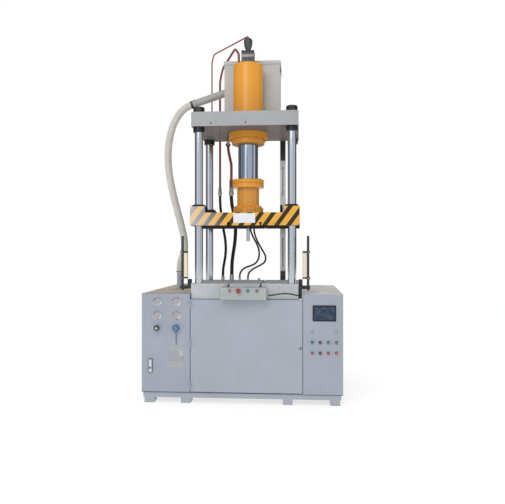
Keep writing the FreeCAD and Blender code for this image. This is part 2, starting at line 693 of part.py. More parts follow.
def guide_bushes():
    """Each bush and its wiper plate."""
    inner = COLUMN_DIAMETER / 2 + RUNNING_FIT
    outer = COLUMN_DIAMETER / 2 + BUSH_WALL - RUNNING_FIT
    bushes = []
    for x, y in column_places():
        half = WIPER_WIDTH / 2
        wiper = block(x - half, x + half, y - half, y + half, Z_BLOCK_TOP, Z_BLOCK_TOP + WIPER_THICKNESS)
        bush = round_bar(outer, Z_BLOCK_TOP - Z_SLIDE, point(x, y, Z_SLIDE))
        bore = round_bar(inner, Z_BLOCK_TOP + WIPER_THICKNESS - Z_SLIDE, point(x, y, Z_SLIDE))
        bushes.append(cut(fused(wiper, bush), bore))
    return Part.makeCompound(bushes)


def upper_ejector_rod():
    rod = UPPER_ROD_DIAMETER / 2
    head = UPPER_HEAD_DIAMETER / 2
    low = Z_SLIDE - UPPER_ROD_REACH
    seat = Z_SLIDE_TOP + SEAT_GAP
    top = seat + UPPER_HEAD_HEIGHT
    profile = [(0, low), (rod - 2, low), (rod, low + 2), (rod, seat), (head, seat), (head, top), (0, top)]
    return turned(profile)


# ================================================================ lower ejector
def ejector_cylinder():
    outer = EJECTOR_BODY_DIAMETER / 2
    bore = EJECTOR_BORE / 2
    flange = EJECTOR_FLANGE_DIAMETER / 2
    rod = EJECTOR_ROD_DIAMETER / 2 + RUNNING_FIT
    flange_low = Z_TABLE - EJECTOR_FLANGE_HEIGHT
    low = Z_TABLE - EJECTOR_HEIGHT
    floor = low + EJECTOR_FLANGE_HEIGHT
    profile = [(0, low), (outer, low), (outer, flange_low), (flange, flange_low), (flange, Z_TABLE)]
    profile += [(rod, Z_TABLE), (rod, flange_low), (bore, flange_low), (bore, floor), (0, floor)]
    return turned(profile)


def ejector_rod():
    rod = EJECTOR_ROD_DIAMETER / 2
    piston = EJECTOR_BORE / 2 - RUNNING_FIT
    low = Z_TABLE - EJECTOR_HEIGHT + EJECTOR_FLANGE_HEIGHT + SEAT_GAP
    piston_top = low + EJECTOR_PISTON_HEIGHT
    top = Z_TABLE_TOP - EJECTOR_ROD_RECESS
    profile = [(0, low), (piston, low), (piston, piston_top), (rod, piston_top), (rod, top - 2), (rod - 2, top), (0, top)]
    return turned(profile)


# ================================================================ filling valve and top tank
def filling_valve():
    """Valve block on the cylinder's head with its bulb-shaped pilot cap and the pipe that joins it to the tank."""
    half = VALVE_WIDTH / 2
    body = block(-half, half, -half, half, Z_BARREL_TOP, Z_VALVE_TOP)
    bulb = BULB_DIAMETER / 2
    neck = BULB_NECK_DIAMETER / 2
    z0 = Z_VALVE_TOP
    z1 = z0 + BULB_HEIGHT * 0.14
    z2 = z0 + BULB_HEIGHT * 0.52
    z3 = z0 + BULB_HEIGHT * 0.88
    profile = [(0, z0), (neck, z0), (neck, z1), (bulb * 0.92, z2), (bulb, z3), (bulb * 0.78, Z_BULB_TOP), (0, Z_BULB_TOP)]
    link_z = Z_BARREL_TOP + LINK_PIPE_DIAMETER / 2 + LINK_PIPE_RISE
    link = round_bar(LINK_PIPE_DIAMETER / 2, TANK_FRONT - half + 1, point(0, half - 1, link_z), BACK)
    return fused(body, turned(profile), link)


def filling_tank():
    outer = block(TANK_LEFT, TANK_RIGHT, TANK_FRONT, TANK_BACK, Z_CROWN_TOP, Z_TANK_TOP)
    wall = TANK_WALL
    inner = block(TANK_LEFT + wall, TANK_RIGHT - wall, TANK_FRONT + wall, TANK_BACK - wall, Z_CROWN_TOP + wall, Z_TANK_TOP)
    return cut(outer, inner)


def tank_lid():
    """A folded lid whose right flap hangs lower than its other edges."""
    over = LID_OVERHANG
    low = Z_TANK_TOP - LID_SKIRT
    high = Z_TANK_TOP + LID_THICKNESS
    outer = block(TANK_LEFT - over, TANK_RIGHT + over, TANK_FRONT - over, TANK_BACK + over, low, high)
    gap = SEAT_GAP
    inner = block(TANK_LEFT - gap, TANK_RIGHT + gap, TANK_FRONT - gap, TANK_BACK + gap, low, Z_TANK_TOP)
    flap_low = Z_TANK_TOP - LID_FLAP
    flap = prism_y([(TANK_RIGHT + gap, low), (TANK_RIGHT + over, low), (TANK_RIGHT + over * 2.6, flap_low),
                    (TANK_RIGHT + over * 1.8, flap_low)], TANK_FRONT, TANK_BACK)
    return fused(cut(outer, inner), flap)


def prism_y(outline, y0, y1):
    corners = [point(x, y0, z) for x, z in outline]
    face = Part.Face(Part.makePolygon(corners + [corners[0]]))
    return face.extrude(BACK * (y1 - y0))


# ================================================================ pipes
SUCTION_Y = (TANK_FRONT + TANK_BACK) / 2
SUCTION_OUTLET = point(TANK_LEFT, SUCTION_Y, Z_CROWN_TOP + SUCTION_OUTLET_LEVEL)
SUCTION_END = point(TANK_LEFT - SUCTION_RUN, SUCTION_Y, Z_CROWN_TOP + SUCTION_END_LEVEL)
HOSE_STUB_X = STATION_LEFT + SUCTION_STUB_INSET
HOSE_STUB_Z = Z_CABINET_TOP + SUCTION_STUB_HEIGHT
PILOT_X = -COLUMN_SPAN_X / 2 + PILOT_COLUMN_OFFSET


def suction_pipe():
    """A straight steel pipe from the tank's side, with a collar where its hose begins."""
    heading = (SUCTION_END - SUCTION_OUTLET).normalize()
    root = SUCTION_OUTLET - heading * SUCTION_ROOT
    length = (SUCTION_END - root).Length
    radius = SUCTION_PIPE_DIAMETER / 2
    pipe = round_bar(radius, length, root, heading)
    collar = round_bar(radius + COLLAR_STEP, SUCTION_COLLAR, SUCTION_END - heading * SUCTION_COLLAR, heading)
    bore = round_bar(radius - PIPE_WALL, length, root, heading)
    tank_side = block(TANK_LEFT, TANK_RIGHT, TANK_FRONT, TANK_BACK, Z_CROWN_TOP, Z_TANK_TOP)
    return cut(fused(pipe, collar), bore, tank_side)


def hex_fitting(diameter, height, x, y, z):
    """A hexagon with a turned shoulder above it."""
    body = hexagon(diameter * 1.5, height * 0.55, point(x, y, z))
    return fused(body, round_bar(diameter * 0.62, height, point(x, y, z)))


def pilot_pipe():
    radius = 40.0
    top = Z_BULB_TOP + PILOT_PIPE_DIAMETER / 2 + 20.0
    route = [(0, 0, Z_BULB_TOP), (0, 0, top), (PILOT_X + 18.0, REAR_LINE, top - 22.0),
             (PILOT_X, REAR_LINE, top - 110.0), (PILOT_X, REAR_LINE, Z_MANIFOLD_TOP)]
    pipe = bent_pipe(PILOT_PIPE_DIAMETER, [14.0, radius, radius], route)
    nuts = [
        hexagon(PILOT_PIPE_DIAMETER * 1.8, PILOT_PIPE_DIAMETER, place)
        for place in (point(0, 0, Z_BULB_TOP), point(PILOT_X, REAR_LINE, Z_MANIFOLD_TOP))
    ]
    return fused(pipe, *nuts)


def pressure_pipe():
    rise = Z_BARREL_TOP + 180.0
    route = [(-92.0, 20.0, Z_BARREL_TOP), (-92.0, 20.0, rise - 60.0), (-128.0, 40.0, rise),
             (PRESSURE_X + 26.0, REAR_LINE, Z_BARREL_TOP + 110.0), (PRESSURE_X, REAR_LINE, Z_BARREL_TOP - 30.0),
             (PRESSURE_X, REAR_LINE, Z_OIL_HOSE_TOP)]
    pipe = bent_pipe(PRESSURE_PIPE_DIAMETER, [60.0, 40.0, 80.0, 80.0], route)
    nut = hexagon(PRESSURE_PIPE_DIAMETER * 1.7, 16.0, point(-92.0, 20.0, Z_BARREL_TOP))
    end = round_bar(PRESSURE_HOSE_DIAMETER / 2 + 2.0, 68.0, point(PRESSURE_X, REAR_LINE, Z_OIL_HOSE_TOP))
    return fused(pipe, nut, end)


def return_pipe():
    port_z = Z_CROWN - BARREL_FLANGE_HEIGHT / 2
    reach = BARREL_FLANGE_DIAMETER / 2
    route = [(-reach * 0.8, reach * 0.6, port_z), (-reach * 1.1, reach * 0.825, port_z),
             (RETURN_X - 36.0, REAR_LINE, port_z), (RETURN_X - 28.0, REAR_LINE, port_z - 70.0),
             (RETURN_X, REAR_LINE, port_z - 200.0), (RETURN_X, REAR_LINE, Z_OIL_HOSE_TOP)]
    pipe = bent_pipe(RETURN_PIPE_DIAMETER, [40.0, 34.0, 60.0, 120.0], route)
    end = round_bar(RETURN_HOSE_DIAMETER / 2 + 3.0, 150.0, point(RETURN_X, REAR_LINE, Z_OIL_HOSE_TOP))
    flange_body = round_bar(reach + SEAT_GAP, BARREL_FLANGE_HEIGHT, point(0, 0, Z_CROWN - BARREL_FLANGE_HEIGHT))
    return cut(fused(pipe, end), flange_body)


# ================================================================ hoses and cable
def suction_hose():
    y = SUCTION_Y
    end = SUCTION_END
    first = end + (SUCTION_END - SUCTION_OUTLET).normalize() * 70.0
    foot_x = HOSE_STUB_X
    route = [(end.x, y, end.z), (first.x, y, first.z), (end.x - 134, y, end.z - 78),
             (end.x - 196, y, end.z - 172), (end.x - 240, y, end.z - 300), (end.x - 262, y, end.z - 448),
             (end.x - 262, y, end.z - 606), (end.x - 240, y, end.z - 770), (end.x - 204, y, end.z - 930),
             (end.x - 164, y, end.z - 1084), (end.x - 124, y, end.z - 1230), (end.x - 94, y, end.z - 1362),
             (end.x - 92, y, end.z - 1492), (foot_x, y, HOSE_STUB_Z + 110), (foot_x, y, HOSE_STUB_Z)]
    return cord("suction_hose", SUCTION_HOSE_DIAMETER, route)


def pressure_hose():
    y = REAR_LINE
    x = PRESSURE_X
    end_x = x + PRESSURE_HOSE_SHIFT
    route = [(x, y, Z_OIL_HOSE_TOP), (x, y, 1872), (x + 8, y, 1780), (x + 22, y, 1680), (x + 38, y, 1580),
             (x + 56, y, 1480), (x + 62, y, 1376), (x + 50, y, 1276), (end_x, y, 1180), (end_x, y, Z_FITTING_TOP)]
    return cord("pressure_hose", PRESSURE_HOSE_DIAMETER, route)


def return_hose():
    y = REAR_LINE
    x = RETURN_X
    end_x = x + RETURN_HOSE_SHIFT
    route = [(x, y, Z_OIL_HOSE_TOP), (x, y, 1870), (x + 22, y, 1770), (x + 44, y, 1660), (x + 44, y, 1560),
             (x + 36, y, 1450), (x + 18, y, 1340), (end_x, y, 1230), (end_x, y, Z_RETURN_FITTING_TOP)]
    return cord("return_hose", RETURN_HOSE_DIAMETER, route)


def ejector_hose_left():
    """Hangs from the slide, swings to the right and comes back to its fitting on the left."""
    y = SLIDE_DEPTH / 2 + EJECTOR_LANE
    x = EJECTOR_PORT_LEFT
    end_x = x + EJECTOR_LEFT_SHIFT
    route = [(x, y, Z_EJECTOR_PORT), (x, y, 1596), (x + 12, y, 1548), (x + 38, y, 1494), (x + 70, y, 1436),
             (x + 92, y, 1370), (x + 90, y, 1300), (x + 62, y + 6, 1246), (x + 10, REAR_LINE, 1218),
             (x - 46, REAR_LINE, 1202), (x - 92, REAR_LINE, 1170), (end_x, REAR_LINE, 1128),
             (end_x, REAR_LINE, Z_FITTING_TOP)]
    return cord("ejector_hose_left", EJECTOR_HOSE_DIAMETER, route)


def ejector_hose_right():
    """The same to the right of it, in a lane of its own where the two cross."""
    y = SLIDE_DEPTH / 2 + EJECTOR_LANE
    x = EJECTOR_PORT_RIGHT
    lane = y + EJECTOR_HOSE_DIAMETER + 4.0
    end_x = x + EJECTOR_RIGHT_SHIFT
    route = [(x, y, Z_EJECTOR_PORT), (x, y, 1596), (x + 6, y + 8, 1548), (x + 24, y + 18, 1494),
             (x + 54, lane, 1432), (x + 92, lane, 1370), (x + 124, lane, 1310), (x + 116, lane, 1256),
             (x + 68, lane, 1222), (x + 14, lane, 1198), (x - 34, lane - 4, 1168), (end_x, REAR_LINE, 1128),
             (end_x, REAR_LINE, Z_FITTING_TOP)]
    return cord("ejector_hose_right", EJECTOR_HOSE_DIAMETER, route)


CABLE_START = point(CONTROL_BOX_WIDTH / 2 + 16.0, -PLATE_EDGE - 60.0, Z_TABLE_TOP - 97.0)
CABLE_END = point(TABLE_SIDE + 18.0, -PLATE_EDGE - 26.0, Z_TABLE_TOP - 104.0)


def control_cable():
    start = CABLE_START
    end = CABLE_END
    y = start.y
    route = [(start.x, y, start.z), (start.x + 40, y, start.z), (start.x + 84, y, start.z + 9),
             (start.x + 130, y, start.z + 15), (start.x + 176, y, start.z + 14), (start.x + 216, y, start.z + 9),
             (start.x + 250, y + 1, start.z), (end.x - 8, y + 4, end.z + 2), (end.x, end.y - 12, end.z),
             (end.x, end.y, end.z)]
    return cord("control_cable", CONTROL_CABLE_DIAMETER, route)


# ================================================================ manifold behind the table
def manifold_fitting(x, diameter, height=FITTING_HEIGHT):
    return hex_fitting(diameter, height, x, REAR_LINE, Z_MANIFOLD_TOP)


def rear_manifold():
    left = PILOT_X - MANIFOLD_MARGIN
    body = block(left, left + MANIFOLD_WIDTH, PLATE_EDGE, PLATE_EDGE + MANIFOLD_DEPTH,
                 Z_MANIFOLD_TOP - MANIFOLD_HEIGHT, Z_MANIFOLD_TOP)
    fittings = [
        manifold_fitting(PRESSURE_X + PRESSURE_HOSE_SHIFT, PRESSURE_HOSE_DIAMETER),
        manifold_fitting(RETURN_X + RETURN_HOSE_SHIFT, RETURN_HOSE_DIAMETER, RETURN_FITTING_HEIGHT),
        manifold_fitting(EJECTOR_PORT_LEFT + EJECTOR_LEFT_SHIFT, EJECTOR_HOSE_DIAMETER),
        manifold_fitting(EJECTOR_PORT_RIGHT + EJECTOR_RIGHT_SHIFT, EJECTOR_HOSE_DIAMETER),
        manifold_fitting(SPARE_PORT_X, SPARE_PORT_DIAMETER),
    ]
    return fused(body, *fittings)


# ================================================================ sensing and guards
def rail_x():
    return TABLE_SIDE - RAIL_INSET - RAIL_WIDTH


def sensor_rail():
    """A slotted flat bar behind the slide, held off the table and the crown by spacers."""
    x0 = rail_x()
    x1 = x0 + RAIL_WIDTH
    y0 = SLIDE_DEPTH / 2 + SWITCH_DEPTH + 10.0
    y1 = y0 + RAIL_THICKNESS
    low = Z_TABLE_TOP - 90.0
    high = Z_CROWN + 90.0
    bar = block(x0, x1, y0, y1, low, high)
    spacers = [block(x0, x1, PLATE_EDGE, y0, low, Z_TABLE_TOP - 30.0), block(x0, x1, PLATE_EDGE, y0, Z_CROWN + 20.0, high)]
    slot_x = (x0 + x1) / 2
    slots = [
        block(slot_x - 6, slot_x + 6, y0, y1, Z_TABLE_TOP + 130.0, Z_TABLE_TOP + 430.0),
        block(slot_x - 6, slot_x + 6, y0, y1, Z_CROWN - 560.0, Z_CROWN - 260.0),
    ]
    return cut(fused(bar, *spacers), *slots)


def limit_switches():
    """Two switch bodies on the rail, each with its row of three windows."""
    x0 = rail_x() + 4.0
    x1 = x0 + RAIL_WIDTH - 8.0
    y1 = SLIDE_DEPTH / 2 + SWITCH_DEPTH + 10.0
    y0 = y1 - SWITCH_DEPTH
    switches = []
    for low, height in ((Z_CROWN - SWITCH_HIGH, SWITCH_HIGH), (Z_TABLE_TOP, SWITCH_LOW)):
        body = block(x0, x1, y0, y1, low, low + height)
        pitch = height / 4
        windows = [
            block(x0 + 14, x1 - 14, y0, y0 + 6, low + pitch * (step + 0.7), low + pitch * (step + 1.3))
            for step in range(3)
        ]
        switches.append(cut(body, *windows))
    return Part.makeCompound(switches)


def curtain_post_place(side):
    return side * (TABLE_SIDE + CURTAIN_OFFSET)


CURTAIN_Y = -PLATE_EDGE + CURTAIN_SETBACK
CURTAIN_LOW = Z_TABLE_TOP - 60.0


def light_curtains():
    """On each side a post and its optical bar, joined by two clips."""
    curtains = []
    for side in (-1, 1):
        x = curtain_post_place(side)
        post = round_bar(CURTAIN_POST / 2, CURTAIN_POST_HEIGHT, point(x, CURTAIN_Y, CURTAIN_LOW))
        inner = x - side * (CURTAIN_POST / 2 + 4.0)
        x0, x1 = sorted((inner, inner - side * CURTAIN_BAR_WIDTH))
        low = Z_TABLE_TOP + 50.0
        high = low + CURTAIN_BAR_HEIGHT
        half = CURTAIN_BAR_DEPTH / 2
        bar = block(x0, x1, CURTAIN_Y - half, CURTAIN_Y + half, low, high)
        clips = []
        for z in (low - 6.0, high - 6.0):
            c0, c1 = sorted((x + side * 20.0, inner - side * CURTAIN_BAR_WIDTH))
            clips.append(block(c0, c1, CURTAIN_Y - half - 3, CURTAIN_Y + half + 3, z, z + 12.0))
        curtains.append(fused(post, bar, *clips))
    return Part.makeCompound(curtains)


def curtain_brackets():
    """Brackets bolted to the table's sides. The right one also carries the cable's gland plate."""
    brackets = []
    for side in (-1, 1):
        x = curtain_post_place(side)
        edge = side * TABLE_SIDE
        reach = x + side * (CURTAIN_POST / 2 + 8.0)
        y0 = CURTAIN_Y - CURTAIN_POST
        y1 = CURTAIN_Y + CURTAIN_POST
        x0, x1 = sorted((edge, reach))
        arm = block(x0, x1, y0, y1, CURTAIN_LOW + 14.0, CURTAIN_LOW + 14.0 + BRACKET_THICKNESS * 2)
        x0, x1 = sorted((edge, edge + side * 34.0))
        upright = block(x0, x1, y0, y1, CURTAIN_LOW + 14.0, CURTAIN_LOW + 14.0 + BRACKET_HEIGHT)
        shape = fused(arm, upright)
        hole = round_bar(CURTAIN_POST / 2 + RUNNING_FIT, CURTAIN_POST_HEIGHT, point(x, CURTAIN_Y, CURTAIN_LOW))
        shape = cut(shape, hole)
        if side == 1:
            gland_y = CABLE_END.y
            plate_front = gland_y + 18.0
            gland_plate = block(edge, edge + 30.0, plate_front, y0, Z_TABLE_TOP - 132.0, Z_TABLE_TOP - 12.0)
            lug = block(edge, edge + 30.0, plate_front, y0 + 10.0, Z_TABLE_TOP - 46.0, Z_TABLE_TOP - 12.0)
            gland = round_bar(CONTROL_CABLE_DIAMETER, 18.0, CABLE_END, BACK)
            shape = fused(shape, gland_plate, lug, gland)
        brackets.append(shape)
    return Part.makeCompound(brackets)


# ================================================================ push buttons, knobs and their holes
def stem_hole(x, y, z, depth):
    """A hole through a front sheet whose outer face lies at y."""
    return round_bar(BUTTON_STEM / 2 + FREE_FIT, depth, point(x, y, z), BACK)


def push_button(x, y, z, cap=BUTTON_CAP, reach=BUTTON_REACH):
    stem = BUTTON_STEM / 2
    gap = BUTTON_TRAVEL + SEAT_GAP
    head = cap / 2
    profile = [(0, -16), (stem, -16), (stem, gap), (head, gap), (head, reach - 2), (head - 2, reach), (0, reach)]
    return turned_front(profile, point(x, y, z))


def mushroom_button(x, y, z):
    stem = BUTTON_STEM / 2
    gap = BUTTON_TRAVEL + SEAT_GAP
    head = STOP_DIAMETER / 2
    mid = STOP_REACH - 14.0
    profile = [(0, -16), (stem, -16), (stem, gap), (stem + 2, gap), (stem + 2, mid), (head, mid + 2)]
    profile += [(head, STOP_REACH - 5), (head - 5, STOP_REACH - 1), (head - 12, STOP_REACH), (0, STOP_REACH)]
    return turned_front(profile, point(x, y, z))


def selector(x, y, z):
    stem = BUTTON_STEM / 2
    head = BUTTON_CAP / 2
    profile = [(0, -16), (stem, -16), (stem, SEAT_GAP), (head, SEAT_GAP), (head, 8), (head - 1.5, 10), (0, 10)]
    grip = block(x - 4, x + 4, y - 20, y - 9, z - head + 1.5, z + head - 1.5)
    return fused(turned_front(profile, point(x, y, z)), grip)


def grip_knob(diameter, lobes, x, z):
    """A hand knob with scalloped edges on a shaft that goes through the station door."""
    rim = diameter / 2
    shaft = KNOB_SHAFT / 2
    near = 12.0
    far = near + KNOB_DEPTH
    profile = [(0, -24), (shaft, -24), (shaft, near), (rim * 0.6, near), (rim, near + 6), (rim, far - 5)]
    profile += [(rim - 5, far), (0, far)]
    body = turned_front(profile, point(x, DOOR_FRONT, z))
    scallops = []
    for step in range(lobes):
        angle = 2 * math.pi * step / lobes
        cx = x + (rim + 3) * math.cos(angle)
        cz = z + (rim + 3) * math.sin(angle)
        scallops.append(round_bar(rim * 0.22, KNOB_DEPTH, point(cx, DOOR_FRONT - far, cz), BACK))
    return cut(body, *scallops)


# ================================================================ front control box
def box_button_places():
    return [(BUTTON_PITCH * (index - 1.5), Z_BUTTONS) for index in range(4)]


def control_box():
    half = CONTROL_BOX_WIDTH / 2
    outer = block(-half, half, BOX_FRONT, -PLATE_EDGE, Z_BOX, Z_BOX_TOP)
    inner = block(-half + SHEET, half - SHEET, BOX_FRONT + SHEET, -PLATE_EDGE - SHEET, Z_BOX + SHEET, Z_BOX_TOP - SHEET)
    holes = [stem_hole(x, BOX_FRONT, z, SHEET) for x, z in box_button_places()]
    gland_start = point(half, CABLE_START.y, CABLE_START.z)
    gland = round_bar(CONTROL_CABLE_DIAMETER * 0.9, CABLE_START.x - half, gland_start, RIGHT)
    return fused(cut(outer, inner, *holes), gland)


# ================================================================ electrical cabinet
def panel_x(index):
    centre = (CABINET_LEFT + CABINET_RIGHT) / 2 + PANEL_SHIFT
    return centre + PANEL_PITCH * (index - 1.5)


def panel_button_places():
    return [(panel_x(index), Z_BED + level) for level in (PANEL_ROW_HIGH, PANEL_ROW_LOW) for index in range(4)]


def screen_box(grow, y0, y1):
    x = (CABINET_LEFT + CABINET_RIGHT) / 2 + PANEL_SHIFT
    z = Z_BED + SCREEN_LEVEL
    half_x = SCREEN_WIDTH / 2 + grow
    half_z = SCREEN_HEIGHT / 2 + grow
    return block(x - half_x, x + half_x, y0, y1, z - half_z, z + half_z)


def electrical_cabinet():
    """A closed sheet cabinet. A groove across its top marks the joint of its two sections."""
    outer = block(CABINET_LEFT, CABINET_RIGHT, DOOR_FRONT, CABINET_BACK, Z_BED, Z_CABINET_TOP)
    inner = block(CABINET_LEFT + SHEET, CABINET_RIGHT - SHEET, DOOR_FRONT + SHEET, CABINET_BACK - SHEET,
                  Z_BED + SHEET, Z_CABINET_TOP - SHEET)
    groove_y = DOOR_FRONT + ELECTRICAL_SEAM
    depth = SHEET / 2
    grooves = [
        block(CABINET_LEFT, CABINET_RIGHT, groove_y, groove_y + SEAM_GROOVE, Z_CABINET_TOP - depth, Z_CABINET_TOP),
        block(CABINET_RIGHT - depth, CABINET_RIGHT, groove_y, groove_y + SEAM_GROOVE, Z_BED, Z_CABINET_TOP),
    ]
    holes = [stem_hole(x, DOOR_FRONT, z, SHEET) for x, z in panel_button_places()]
    screen_hole = screen_box(-SCREEN_BEZEL, DOOR_FRONT, DOOR_FRONT + SHEET)
    lamps = []
    for index in (0, 3):
        place = point(panel_x(index), DOOR_FRONT + SHEET, Z_BED + PANEL_LAMP_LEVEL)
        lamps.append(round_bar(LAMP_DIAMETER / 2, SHEET + 6.0, place, -BACK))
    return fused(cut(outer, inner, screen_hole, *holes, *grooves), *lamps)


def touch_screen():
    """Panel instrument: a front frame that overlaps its opening and a shallow housing behind it."""
    front = screen_box(0, DOOR_FRONT - 5.0, DOOR_FRONT)
    housing = screen_box(-SCREEN_BEZEL - FREE_FIT, DOOR_FRONT, DOOR_FRONT + SCREEN_DEPTH)
    glass_recess = screen_box(-SCREEN_BEZEL * 1.8, DOOR_FRONT - 5.0, DOOR_FRONT - 3.8)
    return cut(fused(front, housing), glass_recess)


# ================================================================ station
def pan_door(x0, x1, z0, z1):
    """A folded door: a front sheet whose four edges turn back."""
    outer = block(x0, x1, DOOR_FRONT, DOOR_BACK, z0, z1)
    inner = block(x0 + SHEET, x1 - SHEET, DOOR_FRONT + SHEET, DOOR_BACK, z0 + SHEET, z1 - SHEET)
    return cut(outer, inner)


def door_knuckles(position, lug_x0, lug_x1):
    """A door's bored knuckles and the lugs that join them to its front."""
    step = HINGE_KNUCKLE + SEAT_GAP
    knuckles = []
    for level in HINGE_LEVELS:
        z = Z_BED + level + position * step
        lug = block(lug_x0, lug_x1, HINGE_Y, DOOR_FRONT + SHEET, z, z + HINGE_KNUCKLE)
        bore = round_bar(HINGE_PIN_RADIUS + RUNNING_FIT, HINGE_KNUCKLE, point(SEAM_X, HINGE_Y, z))
        knuckles.append(cut(fused(hinge_knuckle(z), lug), bore))
    return knuckles


def gauge_places():
    top = Z_BED + GAUGE_LEVEL + GAUGE_PITCH_Z
    return [(x, z) for x in (LEFT_GAUGE_X, RIGHT_GAUGE_X) for z in (top - GAUGE_PITCH_Z, top)]


def latch_place():
    return STATION_LEFT + LATCH_INSET, Z_BED + LATCH_LEVEL


def station_door():
    x0 = STATION_LEFT + DOOR_MARGIN
    x1 = STATION_RIGHT
    z0 = Z_BED + DOOR_MARGIN
    z1 = Z_CABINET_TOP - DOOR_MARGIN
    door = pan_door(x0, x1, z0, z1)
    latch_x, latch_z = latch_place()
    housing = block(latch_x - LATCH_WIDTH / 2, latch_x + LATCH_WIDTH / 2, DOOR_FRONT - 5.0, DOOR_FRONT,
                    latch_z - LATCH_HEIGHT / 2, latch_z + LATCH_HEIGHT / 2)
    door = fused(door, housing, *door_knuckles(2, x1 - 14.0, SEAM_X - HINGE_PIN_RADIUS - 1))
    holes = [round_bar(GAUGE_CASE / 2, SHEET, point(x, DOOR_FRONT, z), BACK) for x, z in gauge_places()]
    for x in (LEFT_GAUGE_X, RIGHT_GAUGE_X):
        holes.append(round_bar(KNOB_SHAFT / 2 + FREE_FIT, SHEET, point(x, DOOR_FRONT, Z_KNOBS), BACK))
    holes.append(round_bar(8.0 + FREE_FIT, SHEET + 5.0, point(latch_x, DOOR_FRONT - 5.0, latch_z - 30.0), BACK))
    return cut(door, *holes)


def pressure_gauges():
    """Four gauges: a bezel on the door, a dial sunk in it, and the case behind. Each needle is one with its dial."""
    rim = GAUGE_DIAMETER / 2
    case = GAUGE_CASE / 2 - RUNNING_FIT
    gauges = []
    for x, z in gauge_places():
        profile = [(0, -38), (case, -38), (case, 0), (rim, 0), (rim, 9), (rim - 3, 12), (rim - 6, 12), (rim - 6, 6), (0, 6)]
        body = turned_front(profile, point(x, DOOR_FRONT, z))
        needle = block(x - 1.2, x + 1.2, DOOR_FRONT - 8.0, DOOR_FRONT - 6.0, z - 8.0, z + rim - 12.0)
        needle.rotate(point(x, DOOR_FRONT, z), BACK, -48.0)
        boss = round_bar(4.0, 3.0, point(x, DOOR_FRONT - 6.0, z), -BACK)
        gauges.append(fused(body, needle, boss))
    return Part.makeCompound(gauges)


def station_latch():
    """Swing handle of the station door's latch with its shaft and cam."""
    x, z = latch_place()
    front = DOOR_FRONT - 5.0
    pivot_z = z - 30.0
    cam_y = -PLATE_EDGE + SHEET + 2.0
    shaft = round_bar(8.0, cam_y + 4.0 - front + SEAT_GAP, point(x, front - SEAT_GAP, pivot_z), BACK)
    cam = block(x - 8, x + 8, cam_y, cam_y + 4.0, pivot_z - LATCH_CAM, pivot_z + 8.0)
    handle = block(x - 11, x + 11, front - 11.0, front - SEAT_GAP, pivot_z - 14.0, z + LATCH_HEIGHT / 2 - 8.0)
    return fused(shaft, cam, handle)


def relief_knob():
    return grip_knob(RELIEF_KNOB_DIAMETER, 6, LEFT_GAUGE_X, Z_KNOBS)


def flow_knob():
    return grip_knob(FLOW_KNOB_DIAMETER, 8, RIGHT_GAUGE_X, Z_KNOBS)


def document_pouch():
    """A flat pouch on the station door, hung by a two-strand string from the lower right knob's shaft."""
    x = RIGHT_GAUGE_X
    top = Z_KNOBS - POUCH_DROP
    half = POUCH_WIDTH / 2
    body = block(x - half, x + half, DOOR_FRONT - POUCH_THICKNESS, DOOR_FRONT, top - POUCH_HEIGHT, top)
    loop = KNOB_SHAFT / 2 + FREE_FIT + STRING_DIAMETER / 2
    y = DOOR_FRONT - STRING_DIAMETER / 2 - 0.4
    left = Part.LineSegment(point(x - loop, y, top - 10.0), point(x - loop, y, Z_KNOBS)).toShape()
    over = Part.Arc(point(x - loop, y, Z_KNOBS), point(x, y, Z_KNOBS + loop), point(x + loop, y, Z_KNOBS)).toShape()
    right = Part.LineSegment(point(x + loop, y, Z_KNOBS), point(x + loop, y, top - 10.0)).toShape()
    string = swept(Part.Wire([left, over, right]), STRING_DIAMETER)
    return fused(body, string)


def centre_door():
    x0 = -TABLE_SIDE
    x1 = CABINET_LEFT - SEAM
    door = pan_door(x0, x1, Z_BED + DOOR_MARGIN, Z_TABLE - DOOR_MARGIN)
    ribs = []
    for share in (0.33, 0.67):
        z = Z_BED + BED_HEIGHT * share
        ribs.append(block(x0 + SHEET, x1 - SHEET, DOOR_FRONT + SHEET, DOOR_BACK - SHEET, z - 20.0, z + 20.0))
    lock_x = x1 - LOCK_INSET
    lock_hole = round_bar(LOCK_DIAMETER / 2 - 4.0 + FREE_FIT, SHEET, point(lock_x, DOOR_FRONT, Z_BED + LOCK_LEVEL), BACK)
    knuckles = door_knuckles(1, SEAM_X + HINGE_PIN_RADIUS + 1, x0 + 14.0)
    return cut(fused(door, *ribs, *knuckles), lock_hole)


def centre_lock():
    x = CABINET_LEFT - SEAM - LOCK_INSET
    rim = LOCK_DIAMETER / 2
    profile = [(0, -12), (rim - 4, -12), (rim - 4, SEAT_GAP), (rim, SEAT_GAP), (rim, 5), (rim - 1.5, 6.5), (0, 6.5)]
    body = turned_front(profile, point(x, DOOR_FRONT, Z_BED + LOCK_LEVEL))
    key_slot = block(x - 1.2, x + 1.2, DOOR_FRONT - 6.5, DOOR_FRONT - 3.0, Z_BED + LOCK_LEVEL - 5, Z_BED + LOCK_LEVEL + 5)
    return cut(body, key_slot)


